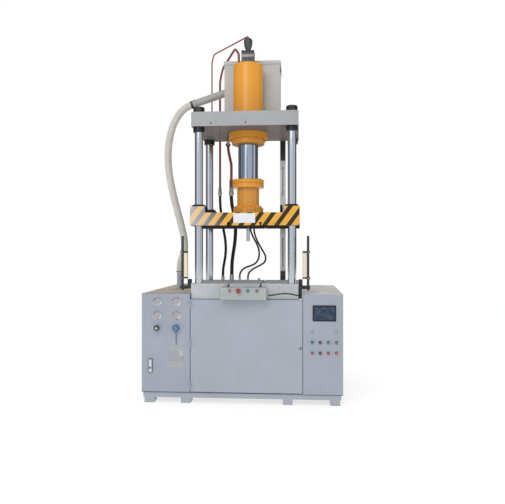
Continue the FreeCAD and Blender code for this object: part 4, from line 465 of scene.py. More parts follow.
# The sleeve's orange is a slightly lighter copy of the orange paint, a painted light; its glossier coat is its own.
SLEEVE_PAINT_LIT = paint("sleeve_paint_lit", (0.78, 0.33, 0.024), roughness=0.24, coat=0.5, wear=(0.42, 0.16, 0.02))
LOCK_STEEL = metal("lock_steel", (0.20, 0.165, 0.165), 0.45, blotches=0.1, metallic=0.3)
VALVE_BAND = metal("valve_band", (0.29, 0.27, 0.29), 0.5, (1, 1, 6), 80.0, 0.05, 0.12, metallic=0.2)
UNION_ZINC = metal("union_zinc", (0.36, 0.34, 0.32), 0.42, (1, 1, 4), 60.0, 0.06, 0.14, spots=(0.16, 0.15, 0.14))
NODE_MATERIALS = {
    # The crown's paint is a darker copy of the frame's warm grey, a painted shade, and under= adds a warm painted shade
    # on its underside.
    "crown_plate": paint("crown_paint_shaded", (0.315, 0.325, 0.325), coat=0.1, under=(0.145, 0.12, 0.115)),
    "touch_screen": paint("screen_frame", (0.016, 0.020, 0.032), coat=0.0, specular=0.2),
    "filling_tank": TANK_PAINT_LIT,
    "tank_lid": TANK_PAINT_LIT,
    # Cabinet tops: top= is painted light, warm on the station cabinet as a painted reflection; under= is painted shade.
    "station_cabinet": paint("station_paint", (0.36, 0.39, 0.445), coat=0.0, top=(0.55, 0.45, 0.37),
                             under=(0.20, 0.20, 0.20), specular=0.2),
    "electrical_cabinet": paint("electrical_paint", (0.36, 0.39, 0.445), coat=0.0, top=(0.67, 0.67, 0.64),
                                under=(0.20, 0.20, 0.20), specular=0.15),
    # The station door's paint is a darker copy of the cabinets' blue-grey, a painted shade; under= is painted shade
    # too.
    "station_door": paint("station_door_paint_shaded", (0.325, 0.36, 0.42), wear=(0.26, 0.27, 0.29), coat=0.1,
                          under=(0.20, 0.20, 0.20)),
    "coupling_sleeve": SLEEVE_PAINT_LIT,
    # The gland's orange is darkened as a painted shade, and under= darkens its underside further as painted shade.
    "gland": paint("gland_paint_shaded", (0.42, 0.21, 0.036), roughness=0.40, coat=0.1, wear=(0.26, 0.12, 0.02),
                   under=(0.10, 0.06, 0.03)),
    "centre_lock": LOCK_STEEL,
    "box_button_red": plastic("box_red", (0.40, 0.11, 0.11)),
    "suction_pipe": paint("suction_pipe_paint", (0.36, 0.355, 0.34), roughness=0.42, coat=0.1),
    # The ram's chrome is a darker, bluer copy of the columns' chrome: a painted reflection.
    "ram": metal("ram_chrome_painted_reflection", (0.405, 0.455, 0.52), 0.12, (1, 1, 22), 70.0, 0.02, 0.03),
    "station_latch": metal("latch_steel", (0.62, 0.65, 0.68), 0.42, (1, 1, 9), 90.0, 0.05, 0.06, metallic=0.5),
    "panel_button_low_1": plastic("dull_red", (0.33, 0.070, 0.085)),
}
for number in (3, 4):
    NODE_MATERIALS["panel_button_low_%d" % number] = NODE_MATERIALS["panel_button_low_1"]

for node_name, node_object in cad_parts.items():
    for material_slot in node_object.material_slots:
        usual = MATERIALS[material_slot.material.name.split(".")[0]]
        material_slot.material = NODE_MATERIALS.get(node_name, usual)

# ---------------------------------------------------------------- mesh helpers


def facing(centre, direction=(0, -1, 0)):
    """A placing whose local Z points along direction, with local Y upwards where it can be."""
    z = Vector(direction).normalized()
    upwards = Vector((0, 0, 1)) if abs(z.z) < 0.9 else Vector((0, 1, 0))
    x = upwards.cross(z).normalized()
    y = z.cross(x)
    return Matrix.Translation(centre) @ Matrix((x, y, z)).transposed().to_4x4()


def circle(radius, steps=32):
    return [(radius * math.cos(i * math.tau / steps), radius * math.sin(i * math.tau / steps))
            for i in range(steps)]


def hexagon(across_flats):
    return circle(across_flats / math.sqrt(3), 6)


def rounded_rectangle(width, height, radius, steps=5):
    points = []
    for corner, (side_x, side_y) in enumerate(((1, 1), (-1, 1), (-1, -1), (1, -1))):
        for step in range(steps + 1):
            angle = math.radians(90 * corner + 90 * step / steps)
            points.append((side_x * (width / 2 - radius) + radius * math.cos(angle),
                           side_y * (height / 2 - radius) + radius * math.sin(angle)))
    return points


class Shape:
    """The mesh of one piece while its parts are gathered."""

    def __init__(self):
        self.mesh = bmesh.new()
        self.materials = []

    def _join(self, part, place, material):
        bmesh.ops.remove_doubles(part, verts=part.verts, dist=1e-6)
        bmesh.ops.recalc_face_normals(part, faces=part.faces)
        part.transform(place)
        if material not in self.materials:
            self.materials.append(material)
        for face in part.faces:
            face.material_index = self.materials.index(material)
        mesh = bpy.data.meshes.new("part")
        part.to_mesh(mesh)
        part.free()
        self.mesh.from_mesh(mesh)
        bpy.data.meshes.remove(mesh)

    def turned(self, profile, place, material, steps=40):
        """A turned part: profile holds pairs of radius and distance along the axis."""
        part = bmesh.new()
        rings = []
        for radius, distance in profile:
            points = circle(radius, steps) if radius > 1e-6 else [(0, 0)]
            rings.append([part.verts.new((x, y, distance)) for x, y in points])
        for first, second in zip(rings, rings[1:]):
            for step in range(steps):
                corners = [ring[(step + shift) % len(ring)]
                           for ring, shift in ((first, 0), (first, 1), (second, 1), (second, 0))]
                corners = list(dict.fromkeys(corners))
                if len(corners) > 2:
                    part.faces.new(corners)
        self._join(part, place, material)

    def prism(self, outline, depth, place, material, rounding=0.0):
        """An outline raised along the placing's Z, with its rim rounded."""
        part = bmesh.new()
        base = part.faces.new([part.verts.new((x, y, 0)) for x, y in outline])
        raised = bmesh.ops.extrude_face_region(part, geom=[base])["geom"]
        top = [element for element in raised if isinstance(element, bmesh.types.BMVert)]
        bmesh.ops.translate(part, verts=top, vec=(0, 0, depth))
        if rounding:
            rim = [edge for edge in part.edges if all(abs(v.co.z - depth) < 1e-7 for v in edge.verts)]
            bmesh.ops.bevel(part, geom=rim, offset=rounding, segments=3, profile=0.5, affect="EDGES")
        self._join(part, place, material)

    def block(self, low, high, material, rounding=0.001):
        """A box between two corners with all its edges rounded."""
        part = bmesh.new()
        bmesh.ops.create_cube(part, size=1)
        for vertex in part.verts:
            for i in range(3):
                vertex.co[i] = low[i] if vertex.co[i] < 0 else high[i]
        if rounding:
            bmesh.ops.bevel(part, geom=list(part.edges), offset=rounding, segments=2, affect="EDGES")
        self._join(part, Matrix(), material)

    def figure(self, text, height, place, material):
        """A plain numeral standing a hair proud of a dial."""
        words = bpy.data.curves.new("figure", "FONT")
        words.body = text
        words.size = height
        words.extrude = 0.15 * MM
        words.align_x = "CENTER"
        words.align_y = "CENTER"
        holder = bpy.data.objects.new("figure", words)
        mesh = bpy.data.meshes.new_from_object(holder)
        part = bmesh.new()
        part.from_mesh(mesh)
        bpy.data.objects.remove(holder)
        bpy.data.meshes.remove(mesh)
        self._join(part, place, material)

    def ride(self, name, body, crease=32):
        mesh = bpy.data.meshes.new(name)
        self.mesh.to_mesh(mesh)
        self.mesh.free()
        for material in self.materials:
            mesh.materials.append(material)
        mesh.shade_smooth()
        mesh.set_sharp_from_angle(angle=math.radians(crease))
        piece = bpy.data.objects.new(name, mesh)
        bpy.context.scene.collection.objects.link(piece)
        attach(piece, body)
        return piece


# ---------------------------------------------------------------- cords and hoses


def route_curve(name, points):
    """One open NURBS spline with the given control points."""
    curve = bpy.data.curves.new(name, "CURVE")
    curve.dimensions = "3D"
    curve.resolution_u = 12
    spline = curve.splines.new("NURBS")
    spline.points.add(len(points) - 1)
    for control, place in zip(spline.points, points):
        control.co = (*place, 1.0)
    spline.order_u = 3
    spline.use_endpoint_u = True
    return curve


def followed(curve):
    """The points that a route's spline runs through."""
    holder = bpy.data.objects.new("route", curve)
    mesh = bpy.data.meshes.new_from_object(holder)
    points = [vertex.co.copy() for vertex in mesh.vertices]
    bpy.data.objects.remove(holder)
    bpy.data.meshes.remove(mesh)
    return points


def length_of(points):
    return sum((b - a).length for a, b in zip(points, points[1:]))


def evenly(points, step):
    """Points a step apart along a line."""
    total = length_of(points)
    count = max(2, round(total / step))
    result, walked, index = [points[0].copy()], 0.0, 0
    for number in range(1, count):
        target = total * number / count
        while walked + (points[index + 1] - points[index]).length < target:
            walked += (points[index + 1] - points[index]).length
            index += 1
        span = points[index + 1] - points[index]
        result.append(points[index] + span * ((target - walked) / span.length))
    result.append(points[-1].copy())
    return result


def tube_mesh(name, path, radius, steps, material, wave=None):
    """A tube along a path; wave gives what a place along it adds to the radius, and its share of a rib."""
    mesh_data = bmesh.new()
    around_layer = mesh_data.verts.layers.float.new("around")
    rib_layer = mesh_data.verts.layers.float.new("rib")
    side = Vector((0, -1, 0))
    rings, walked = [], 0.0
    for index, place in enumerate(path):
        before, after = path[max(0, index - 1)], path[min(len(path) - 1, index + 1)]
        forward = (after - before).normalized()
        side = (side - forward * side.dot(forward)).normalized()
        other = forward.cross(side)
        walked += (place - path[index - 1]).length if index else 0.0
        extra, rib = wave(walked) if wave else (0.0, 1.0)
        ring = []
        for step in range(steps):
            angle = step * math.tau / steps
            reach = radius + extra
            vertex = mesh_data.verts.new(place + (side * math.cos(angle) + other * math.sin(angle)) * reach)
            vertex[around_layer] = step / steps
            vertex[rib_layer] = rib
            ring.append(vertex)
        rings.append(ring)
    for first, second in zip(rings, rings[1:]):
        for step in range(steps):
            following = (step + 1) % steps
            mesh_data.faces.new((first[step], first[following], second[following], second[step]))
    mesh_data.faces.new(rings[0])
    mesh_data.faces.new(rings[-1])
    bmesh.ops.recalc_face_normals(mesh_data, faces=mesh_data.faces)
    mesh = bpy.data.meshes.new(name)
    mesh_data.to_mesh(mesh)
    mesh_data.free()
    mesh.materials.append(material)
    mesh.shade_smooth()
    mesh.set_sharp_from_angle(angle=math.radians(60))
    piece = bpy.data.objects.new(name, mesh)
    bpy.context.scene.collection.objects.link(piece)
    return piece


def hose_curve(name, node, points, diameter, body="frame", slot="hose_rubber",
               material=None):
    """A smooth cord as a curve, in the place of its CAD node."""
    curve = route_curve(name, points)
    length = length_of(followed(curve))
    curve.bevel_depth = diameter / 2
    curve.bevel_resolution = 6
    curve.use_fill_caps = True
    curve.materials.append(material or MATERIALS[slot])
    piece = bpy.data.objects.new(name, curve)
    bpy.context.scene.collection.objects.link(piece)
    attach(piece, body)
    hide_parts(node)
    return piece


SUCTION_Y = 0.270
SUCTION_ROUTE = [at(x, SUCTION_Y, z) for x, z in (
    (-0.576, 2.850), (-0.6425, 2.8281), (-0.710, 2.772), (-0.772, 2.678), (-0.816, 2.550), (-0.838, 2.402),
    (-0.838, 2.244), (-0.816, 2.080), (-0.780, 1.920), (-0.740, 1.766), (-0.700, 1.620), (-0.670, 1.488),
    (-0.668, 1.358), (-0.715, 1.255), (-0.715, 1.145))]
SUCTION_DIAMETER = 0.072

REAR_LINE_Y = 0.440
PRESSURE_ROUTE = [at(x, REAR_LINE_Y, z) for x, z in (
    (-0.330, 1.954), (-0.330, 1.872), (-0.322, 1.780), (-0.308, 1.680), (-0.292, 1.580), (-0.274, 1.480),
    (-0.268, 1.376), (-0.280, 1.276), (-0.300, 1.180), (-0.300, 1.088))]
PRESSURE_DIAMETER = 0.027
RETURN_ROUTE = [at(x, REAR_LINE_Y, z) for x, z in (
    (-0.212, 1.954), (-0.212, 1.870), (-0.190, 1.770), (-0.168, 1.660), (-0.168, 1.560), (-0.176, 1.450),
    (-0.194, 1.340), (-0.208, 1.230), (-0.208, 1.101))]
RETURN_DIAMETER = 0.036
EJECTOR_LEFT_ROUTE = [at(*place) for place in (
    (-0.014, 0.428, 1.642), (-0.014, 0.428, 1.596), (-0.002, 0.428, 1.548), (0.024, 0.428, 1.494),
    (0.056, 0.428, 1.436), (0.078, 0.428, 1.370), (0.076, 0.428, 1.300), (0.048, 0.434, 1.246),
    (-0.004, 0.440, 1.218), (-0.060, 0.440, 1.202), (-0.106, 0.440, 1.170), (-0.126, 0.440, 1.128),
    (-0.126, 0.440, 1.088))]
EJECTOR_RIGHT_ROUTE = [at(*place) for place in (
    (0.022, 0.428, 1.642), (0.022, 0.428, 1.596), (0.028, 0.436, 1.548), (0.046, 0.446, 1.494),
    (0.076, 0.450, 1.432), (0.114, 0.450, 1.370), (0.146, 0.450, 1.310), (0.138, 0.450, 1.256),
    (0.090, 0.450, 1.222), (0.036, 0.450, 1.198), (-0.012, 0.446, 1.168), (-0.040, 0.440, 1.128),
    (-0.040, 0.440, 1.088))]
EJECTOR_DIAMETER = 0.018
CABLE_ROUTE = [at(*place) for place in (
    (0.216, -0.448, 0.977), (0.256, -0.448, 0.977), (0.300, -0.448, 0.986), (0.346, -0.448, 0.992),
    (0.392, -0.448, 0.991), (0.432, -0.448, 0.986), (0.466, -0.447, 0.977), (0.494, -0.444, 0.972),
    (0.502, -0.426, 0.970), (0.502, -0.414, 0.970))]
CABLE_DIAMETER = 0.012
RIB_PITCH = 9 * MM
RIB_HEIGHT = 0.7 * MM


def suction_ribs(walked):
    """The hose's ribs: its radius falls a little between them."""
    rib = 0.5 + 0.5 * math.cos(walked / RIB_PITCH * math.tau)
    return (rib - 1) * RIB_HEIGHT, rib


def make_suction_hose():
    line = followed(route_curve("suction_route", SUCTION_ROUTE))
    path = evenly(line, RIB_PITCH / 4)
    hose = tube_mesh("suction_hose_cover", path, SUCTION_DIAMETER / 2, 40, MATERIALS["suction_rubber"],
                     suction_ribs)
    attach(hose, "frame")
    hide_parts("suction_hose")


def make_ejector_hose(name, node, route):
    """A hose between the slide's port block and the fixed manifold."""
    line = followed(route_curve(name, route))
    path = evenly(line, 5 * MM)
    hose = tube_mesh(name, path, EJECTOR_DIAMETER / 2, 20, MATERIALS["hose_rubber"])
    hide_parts(node)
    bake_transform(hose)


make_suction_hose()
hose_curve("pressure_hose_cover", "pressure_hose", PRESSURE_ROUTE, PRESSURE_DIAMETER)
hose_curve("return_hose_cover", "return_hose", RETURN_ROUTE, RETURN_DIAMETER)
make_ejector_hose("ejector_hose_left_cover", "ejector_hose_left", EJECTOR_LEFT_ROUTE)
make_ejector_hose("ejector_hose_right_cover", "ejector_hose_right", EJECTOR_RIGHT_ROUTE)
hose_curve("control_cable_cover", "control_cable", CABLE_ROUTE, CABLE_DIAMETER)

# ---------------------------------------------------------------- light and floor


def add_floor():
    mesh = bpy.data.meshes.new("floor")
    half = FLOOR_SIZE / 2
    mesh.from_pydata([(-half, -half, 0), (half, -half, 0), (half, half, 0), (-half, half, 0)], [], [(0, 1, 2, 3)])
    mesh.materials.append(floor_material("floor"))
    floor = bpy.data.objects.new("floor", mesh)
    bpy.context.scene.collection.objects.link(floor)


REFLECTED_ROOM = (  # turn from the front towards the right in degrees, and the grey that gloss shows there
    (-180, (0.16, 0.14, 0.12)), (-96, (0.10, 0.09, 0.08)), (-80, (0.40, 0.44, 0.50)), (-36, (0.42, 0.46, 0.52)),
    (-30, (1.6, 1.6, 1.6)), (-18, (1.6, 1.6, 1.6)), (-13, (0.30, 0.31, 0.33)), (-6, (0.42, 0.44, 0.47)),
    (2, (0.80, 0.85, 0.92)), (50, (0.72, 0.78, 0.86)), (58, (0.36, 0.38, 0.41)), (70, (0.42, 0.44, 0.46)),
    (76, (1.1, 1.1, 1.1)), (90, (1.0, 1.0, 1.0)), (97, (0.12, 0.11, 0.10)), (180, (0.16, 0.14, 0.12)))


def light_room():
    """A bright room for camera and soft light, with panels and a dim back for gloss to show."""
    world = bpy.data.worlds.new("room")
    bpy.context.scene.world = world
    world.use_nodes = True
    tree = world.node_tree
    background = tree.nodes["Background"]
    direction = add(tree, "ShaderNodeTexCoord").outputs["Generated"]
    split = add(tree, "ShaderNodeSeparateXYZ", {0: direction})
    forward = math_node(tree, "MULTIPLY", split.outputs["Y"], -1.0)
    turn = add(tree, "ShaderNodeMath", {0: split.outputs["X"], 1: forward}, operation="ARCTAN2").outputs[0]
    ramp = add(tree, "ShaderNodeValToRGB", {"Fac": remap(tree, turn, -math.pi, math.pi)})
    stops = ramp.color_ramp.elements
    while len(stops) > 1:
        stops.remove(stops[-1])
    for number, (degrees, colour) in enumerate(REFLECTED_ROOM):
        place = (degrees + 180) / 360
        stop = stops[0] if number == 0 else stops.new(place)
        stop.position = place
        stop.color = (*colour, 1.0)
    overhead = remap(tree, split.outputs["Z"], 0.45, 0.9)
    glossy = mixed(tree, overhead, ramp.outputs["Color"], (0.34, 0.35, 0.37))
    path = add(tree, "ShaderNodeLightPath")
    room = (ROOM_LIGHT, ROOM_LIGHT, ROOM_LIGHT * 1.02)
    colour = mixed(tree, path.outputs["Is Glossy Ray"], room, glossy)
    colour = mixed(tree, path.outputs["Is Camera Ray"], colour, (1.0, 1.0, 1.0))
    tree.links.new(colour, background.inputs["Color"])
    background.inputs["Strength"].default_value = 1.0

    data = bpy.data.lights.new("key", "AREA")
    data.shape = "DISK"
    data.size = KEY_SIZE
    data.energy = KEY_POWER
    key = bpy.data.objects.new("key", data)
    key.location = KEY_PLACE
    key.rotation_euler = (Vector((0, 0, 1.2)) - Vector(KEY_PLACE)).to_track_quat("-Z", "Y").to_euler()
    bpy.context.scene.collection.objects.link(key)
    bpy.context.scene.view_settings.view_transform = "Standard"


add_floor()
light_room()

# ---------------------------------------------------------------- gauges

GAUGE_RADIUS = 39 * MM
DIAL_RADIUS = 30 * MM
DIAL_SWEEP = 270.0
DIAL_MARKS = 25
DIAL_FIGURES = ("0", "5", "10", "15", "20", "25")
CHROME, STEEL, BLACK = MATERIALS["hard_chrome"], MATERIALS["gauge_steel"], MATERIALS["black_plastic"]


def gauge_turn(share):
    """The angle of a share of the scale, from the lower left, clockwise."""
    return math.radians(225 - DIAL_SWEEP * share)


def make_gauge(number, x, z, reading):
    """Bezel with a rolled rim, flanged case, printed dial, needle and glass."""
    front, back = GAUGES_LOW.y, GAUGES_HIGH.y
    depth = DOOR_FACE - front
    place = facing(Vector((x, DOOR_FACE, z)))
    shape = Shape()
    shape.turned([(0, DOOR_FACE - back), (31 * MM, DOOR_FACE - back), (31 * MM, 0), (GAUGE_RADIUS, 0),
                  (GAUGE_RADIUS, depth - 6.4 * MM), (38.6 * MM, depth - 5.9 * MM), (32.0 * MM, depth - 0.9 * MM),
                  (31.4 * MM, depth - 0.5 * MM)], place, STEEL, 56)
    shape.turned([(31.4 * MM, depth - 0.5 * MM), (30.6 * MM, depth * 0.9), (30.4 * MM, depth * 0.45)], place,
                 BLACK, 56)
    level = depth * 0.5
    shape.turned([(0, level), (DIAL_RADIUS + 0.3 * MM, level)], place, DIAL, 56)
    for mark in range(DIAL_MARKS + 1):
        angle = gauge_turn(mark / DIAL_MARKS)
        long_mark = mark % 5 == 0
        reach = (7.0 if long_mark else 4.0) * MM
        width = (0.9 if long_mark else 0.5) * MM
        centre = (DIAL_RADIUS - 2.5 * MM - reach / 2)
        spot = place @ Matrix.Rotation(angle, 4, "Z") @ Matrix.Translation((centre, 0, level))
        shape.prism([(-reach / 2, -width / 2), (reach / 2, -width / 2), (reach / 2, width / 2),
                     (-reach / 2, width / 2)], 0.15 * MM, spot, BLACK)
    for index, words in enumerate(DIAL_FIGURES):
        angle = gauge_turn(index / (len(DIAL_FIGURES) - 1))
        reach = DIAL_RADIUS - 13.5 * MM
        spot = place @ Matrix.Translation((reach * math.cos(angle), reach * math.sin(angle), level + 0.05 * MM))
        shape.figure(words, 6.0 * MM, spot, BLACK)
    needle = place @ Matrix.Translation((0, 0, level + 1.4 * MM)) @ Matrix.Rotation(gauge_turn(reading), 4, "Z")
    shape.prism([(-9 * MM, -1.5 * MM), (26 * MM, -0.35 * MM), (26 * MM, 0.35 * MM), (-9 * MM, 1.5 * MM)],
                0.6 * MM, needle, BLACK)
    shape.turned([(0, 3.2 * MM), (2.4 * MM, 3.2 * MM), (3.4 * MM, 2.4 * MM), (3.4 * MM, 0)],
                 place @ Matrix.Translation((0, 0, level)), BLACK, 20)
    glass = depth * 0.88
    shape.turned([(0, glass), (20 * MM, glass - 0.3 * MM), (30.6 * MM, glass - 1.2 * MM)], place, GLASS, 56)
    gauge = shape.ride("gauge_%d" % number, "station_door")
    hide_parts("pressure_gauges")


def make_gauges():
    places = [(x, z) for z in (GAUGES_HIGH.z - GAUGE_RADIUS, GAUGES_LOW.z + GAUGE_RADIUS)
              for x in (GAUGES_LOW.x + GAUGE_RADIUS, GAUGES_HIGH.x - GAUGE_RADIUS)]
    for number, ((x, z), reading) in enumerate(zip(places, (0.0, 0.04, 0.0, 0.02))):
        make_gauge(number + 1, x, z, reading)


make_gauges()

# ---------------------------------------------------------------- knobs, latch, locks


def make_knob_trim(name, node, body, radius, cap_material):
    """A washer and nut behind a knob, and a cap set in its face."""
    low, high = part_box(node)
    centre = (low + high) / 2
    behind = Shape()
    place = facing(Vector((centre.x, DOOR_FACE, centre.z)))
    behind.turned([(7.2 * MM, 0), (14 * MM, 0), (14 * MM, 1.5 * MM), (7.2 * MM, 1.5 * MM)], place, STEEL, 32)
    behind.prism(hexagon(22 * MM), 7 * MM, place @ Matrix.Translation((0, 0, 1.5 * MM)), MATERIALS["zinc_steel"],
                 0.6 * MM)
    behind.ride(name + "_nut", "station_door")
    cap = Shape()
    face = facing(Vector((centre.x, low.y, centre.z)))
    cap.turned([(0, 1.2 * MM), (radius * 0.7, 1.0 * MM), (radius, 0.3 * MM), (radius, -1.0 * MM)], face,
               cap_material, 36)
    cap.turned([(radius, -1 * MM), (radius, 0.6 * MM), (radius + 1.2 * MM, 0.3 * MM), (radius + 1.4 * MM, -1 * MM)],
               face, STEEL, 36)
    cap.ride(name + "_cap", body)


def make_latch_trim():
    """The dark frame round the latch's handle, and the lock in the handle."""
    low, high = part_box("station_latch")
    x = (low.x + high.x) / 2
    frame_width, frame_height = 40 * MM, 128 * MM
    centre = Vector((x, DOOR_FACE, 334 * MM))
    shape = Shape()
    place = facing(centre)
    shape.prism(rounded_rectangle(frame_width, frame_height, 9 * MM), 5.6 * MM, place, BLACK, 1.2 * MM)
    shape.prism(rounded_rectangle(frame_width - 10 * MM, frame_height - 10 * MM, 6 * MM), 0.3 * MM,
                place @ Matrix.Translation((0, 0, 5.5 * MM)), MATERIALS["zinc_steel"])
    shape.ride("latch_frame", "station_door")
    lock = Shape()
    spot = facing(Vector((x, low.y, centre.z - 16 * MM)))
    lock.turned([(0, 0.5 * MM), (8.6 * MM, 0.5 * MM), (10.2 * MM, 0.2 * MM), (10.5 * MM, -1 * MM)], spot,
                BLACK, 28)
    lock.prism(rounded_rectangle(1.6 * MM, 7 * MM, 0.7 * MM), 0.2 * MM,
               spot @ Matrix.Translation((0, 0, 0.45 * MM)), STEEL)
    lock.ride("latch_lock", "station_latch")


def make_lock_slot():
    low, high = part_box("centre_lock")
    centre = (low + high) / 2
    shape = Shape()
    spot = facing(Vector((centre.x, low.y, centre.z)))
    shape.turned([(0, 0.3 * MM), (4.6 * MM, 0.3 * MM), (5.2 * MM, -0.4 * MM)], spot, LOCK_STEEL, 28)
    shape.prism(rounded_rectangle(1.5 * MM, 7 * MM, 0.7 * MM), 0.25 * MM,
                spot @ Matrix.Translation((0, 0, 0.25 * MM)), BLACK)
    shape.ride("centre_lock_key", "centre_lock")


def make_lower_gap_shade(node, body, height):
    """A dark strip along the lower edge of a front: a painted shade for the gap under it."""
    low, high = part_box(node)
    shape = Shape()
    shape.block((low.x + 1 * MM, DOOR_FACE - 1.2 * MM, low.z + 0.5 * MM),
                (high.x - 1 * MM, DOOR_FACE + 1 * MM, low.z + height), DOOR_GAP_SHADE, 0.4 * MM)
    shape.ride(node + "_gap_shade", body)


make_knob_trim("relief_knob", "relief_knob", "relief_knob", 9 * MM, CHROME)
make_knob_trim("flow_knob", "flow_knob", "flow_knob", 11 * MM, MATERIALS["blue_plastic"])
make_latch_trim()
make_lock_slot()
make_lower_gap_shade("station_door", "station_door", 5 * MM)
make_lower_gap_shade("centre_door", "centre_door", 8 * MM)
make_lower_gap_shade("electrical_cabinet", "frame", 4 * MM)

# ---------------------------------------------------------------- pouch on its string

POUCH_CENTRE_X = (POUCH_LOW.x + POUCH_HIGH.x) / 2
POUCH_WIDTH = 142 * MM
POUCH_HEIGHT = 212 * MM
POUCH_RISE = POUCH_LOW.z + POUCH_HEIGHT
STRING_Y = AXIS.y - 409.9 * MM
STRING_HALF = 8.9 * MM
STRING_DIAMETER = 3 * MM
KNOB_Z = middle("flow_knob").z


def bowed_sheet(shape, width, height, low_z, y_edge, bow, material, thickness):
    """A sheet that hangs upright and bows forward across its middle."""
    part = bmesh.new()
    columns, rows = 14, 18
    grid = []
    for row in range(rows + 1):
        line = []
        for column in range(columns + 1):
            u, v = column / columns, row / rows
            swell = math.sin(math.pi * u) * (0.35 + 0.65 * math.sin(math.pi * v))
            ripple = 0.10 * math.sin(9 * u + 5 * v) * math.sin(math.pi * u)
            x = POUCH_CENTRE_X + (u - 0.5) * width
            line.append(part.verts.new((x, y_edge - bow * (swell + ripple), low_z + v * height)))
        grid.append(line)
    for row in range(rows):
        for column in range(columns):
            part.faces.new((grid[row][column], grid[row][column + 1], grid[row + 1][column + 1],
                            grid[row + 1][column]))
    bmesh.ops.solidify(part, geom=list(part.faces), thickness=thickness)
    shape._join(part, Matrix(), material)


def make_pouch():
    """A clear pouch with sheets in it: two films joined at a welded border, and an eyelet strip."""
    shape = Shape()
    film = MATERIALS["clear_film"]
    back = POUCH_HIGH.y - 0.4 * MM
    bowed_sheet(shape, POUCH_WIDTH - 14 * MM, POUCH_HEIGHT - 26 * MM, POUCH_LOW.z + 8 * MM, back - 0.9 * MM,
                1.3 * MM, PAPER, 0.3 * MM)
    bowed_sheet(shape, POUCH_WIDTH, POUCH_HEIGHT, POUCH_LOW.z, back - 0.5 * MM, 2.6 * MM, film, 0.15 * MM)
    centre = Vector((POUCH_CENTRE_X, back, POUCH_LOW.z + POUCH_HEIGHT / 2))
    for x, z, width, height in ((0, POUCH_HEIGHT / 2 - 6 * MM, POUCH_WIDTH, 12 * MM),
                                (0, -POUCH_HEIGHT / 2 + 2 * MM, POUCH_WIDTH, 4 * MM),
                                (-POUCH_WIDTH / 2 + 2 * MM, 0, 4 * MM, POUCH_HEIGHT),
                                (POUCH_WIDTH / 2 - 2 * MM, 0, 4 * MM, POUCH_HEIGHT)):
        shape.prism(rounded_rectangle(width, height, 1.5 * MM), 0.9 * MM,
                    facing(centre + Vector((x, 0, z))), film, 0.3 * MM)
    eye = facing(Vector((POUCH_CENTRE_X, back - 0.6 * MM, POUCH_RISE - 5 * MM)))
    shape.turned([(3.4 * MM, 0), (5.4 * MM, 0), (5.4 * MM, 0.7 * MM), (3.4 * MM, 0.7 * MM), (3.4 * MM, 0)],
                 eye, STEEL, 24)
    pouch = shape.ride("pouch", "station_door", 50)
    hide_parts("document_pouch")


def make_pouch_string():
    """The string over the flow knob's shaft that the pouch hangs on."""
    top = KNOB_Z + STRING_HALF
    low = POUCH_RISE + 0.5 * MM
    centre = POUCH_CENTRE_X
    route = [Vector((centre + x, STRING_Y, z)) for x, z in (
        (-2.4 * MM, low), (-2.8 * MM, low + 40 * MM), (-5.0 * MM, low + 90 * MM),
        (-STRING_HALF, KNOB_Z), (-STRING_HALF * 0.95, top - 1 * MM), (0, top + 2.2 * MM),
        (STRING_HALF * 0.95, top - 1 * MM), (STRING_HALF, KNOB_Z), (5.0 * MM, low + 90 * MM),
        (2.8 * MM, low + 40 * MM), (2.4 * MM, low))]
    hose_curve("pouch_string", "document_pouch", route, STRING_DIAMETER, "station_door",
               "clear_film", CORD_TWINE)


make_pouch()
make_pouch_string()

# ---------------------------------------------------------------- light curtains

POST_RADIUS = 11.5 * MM
BAR_LOW_Z = 1.124
BAR_HIGH_Z = 1.356


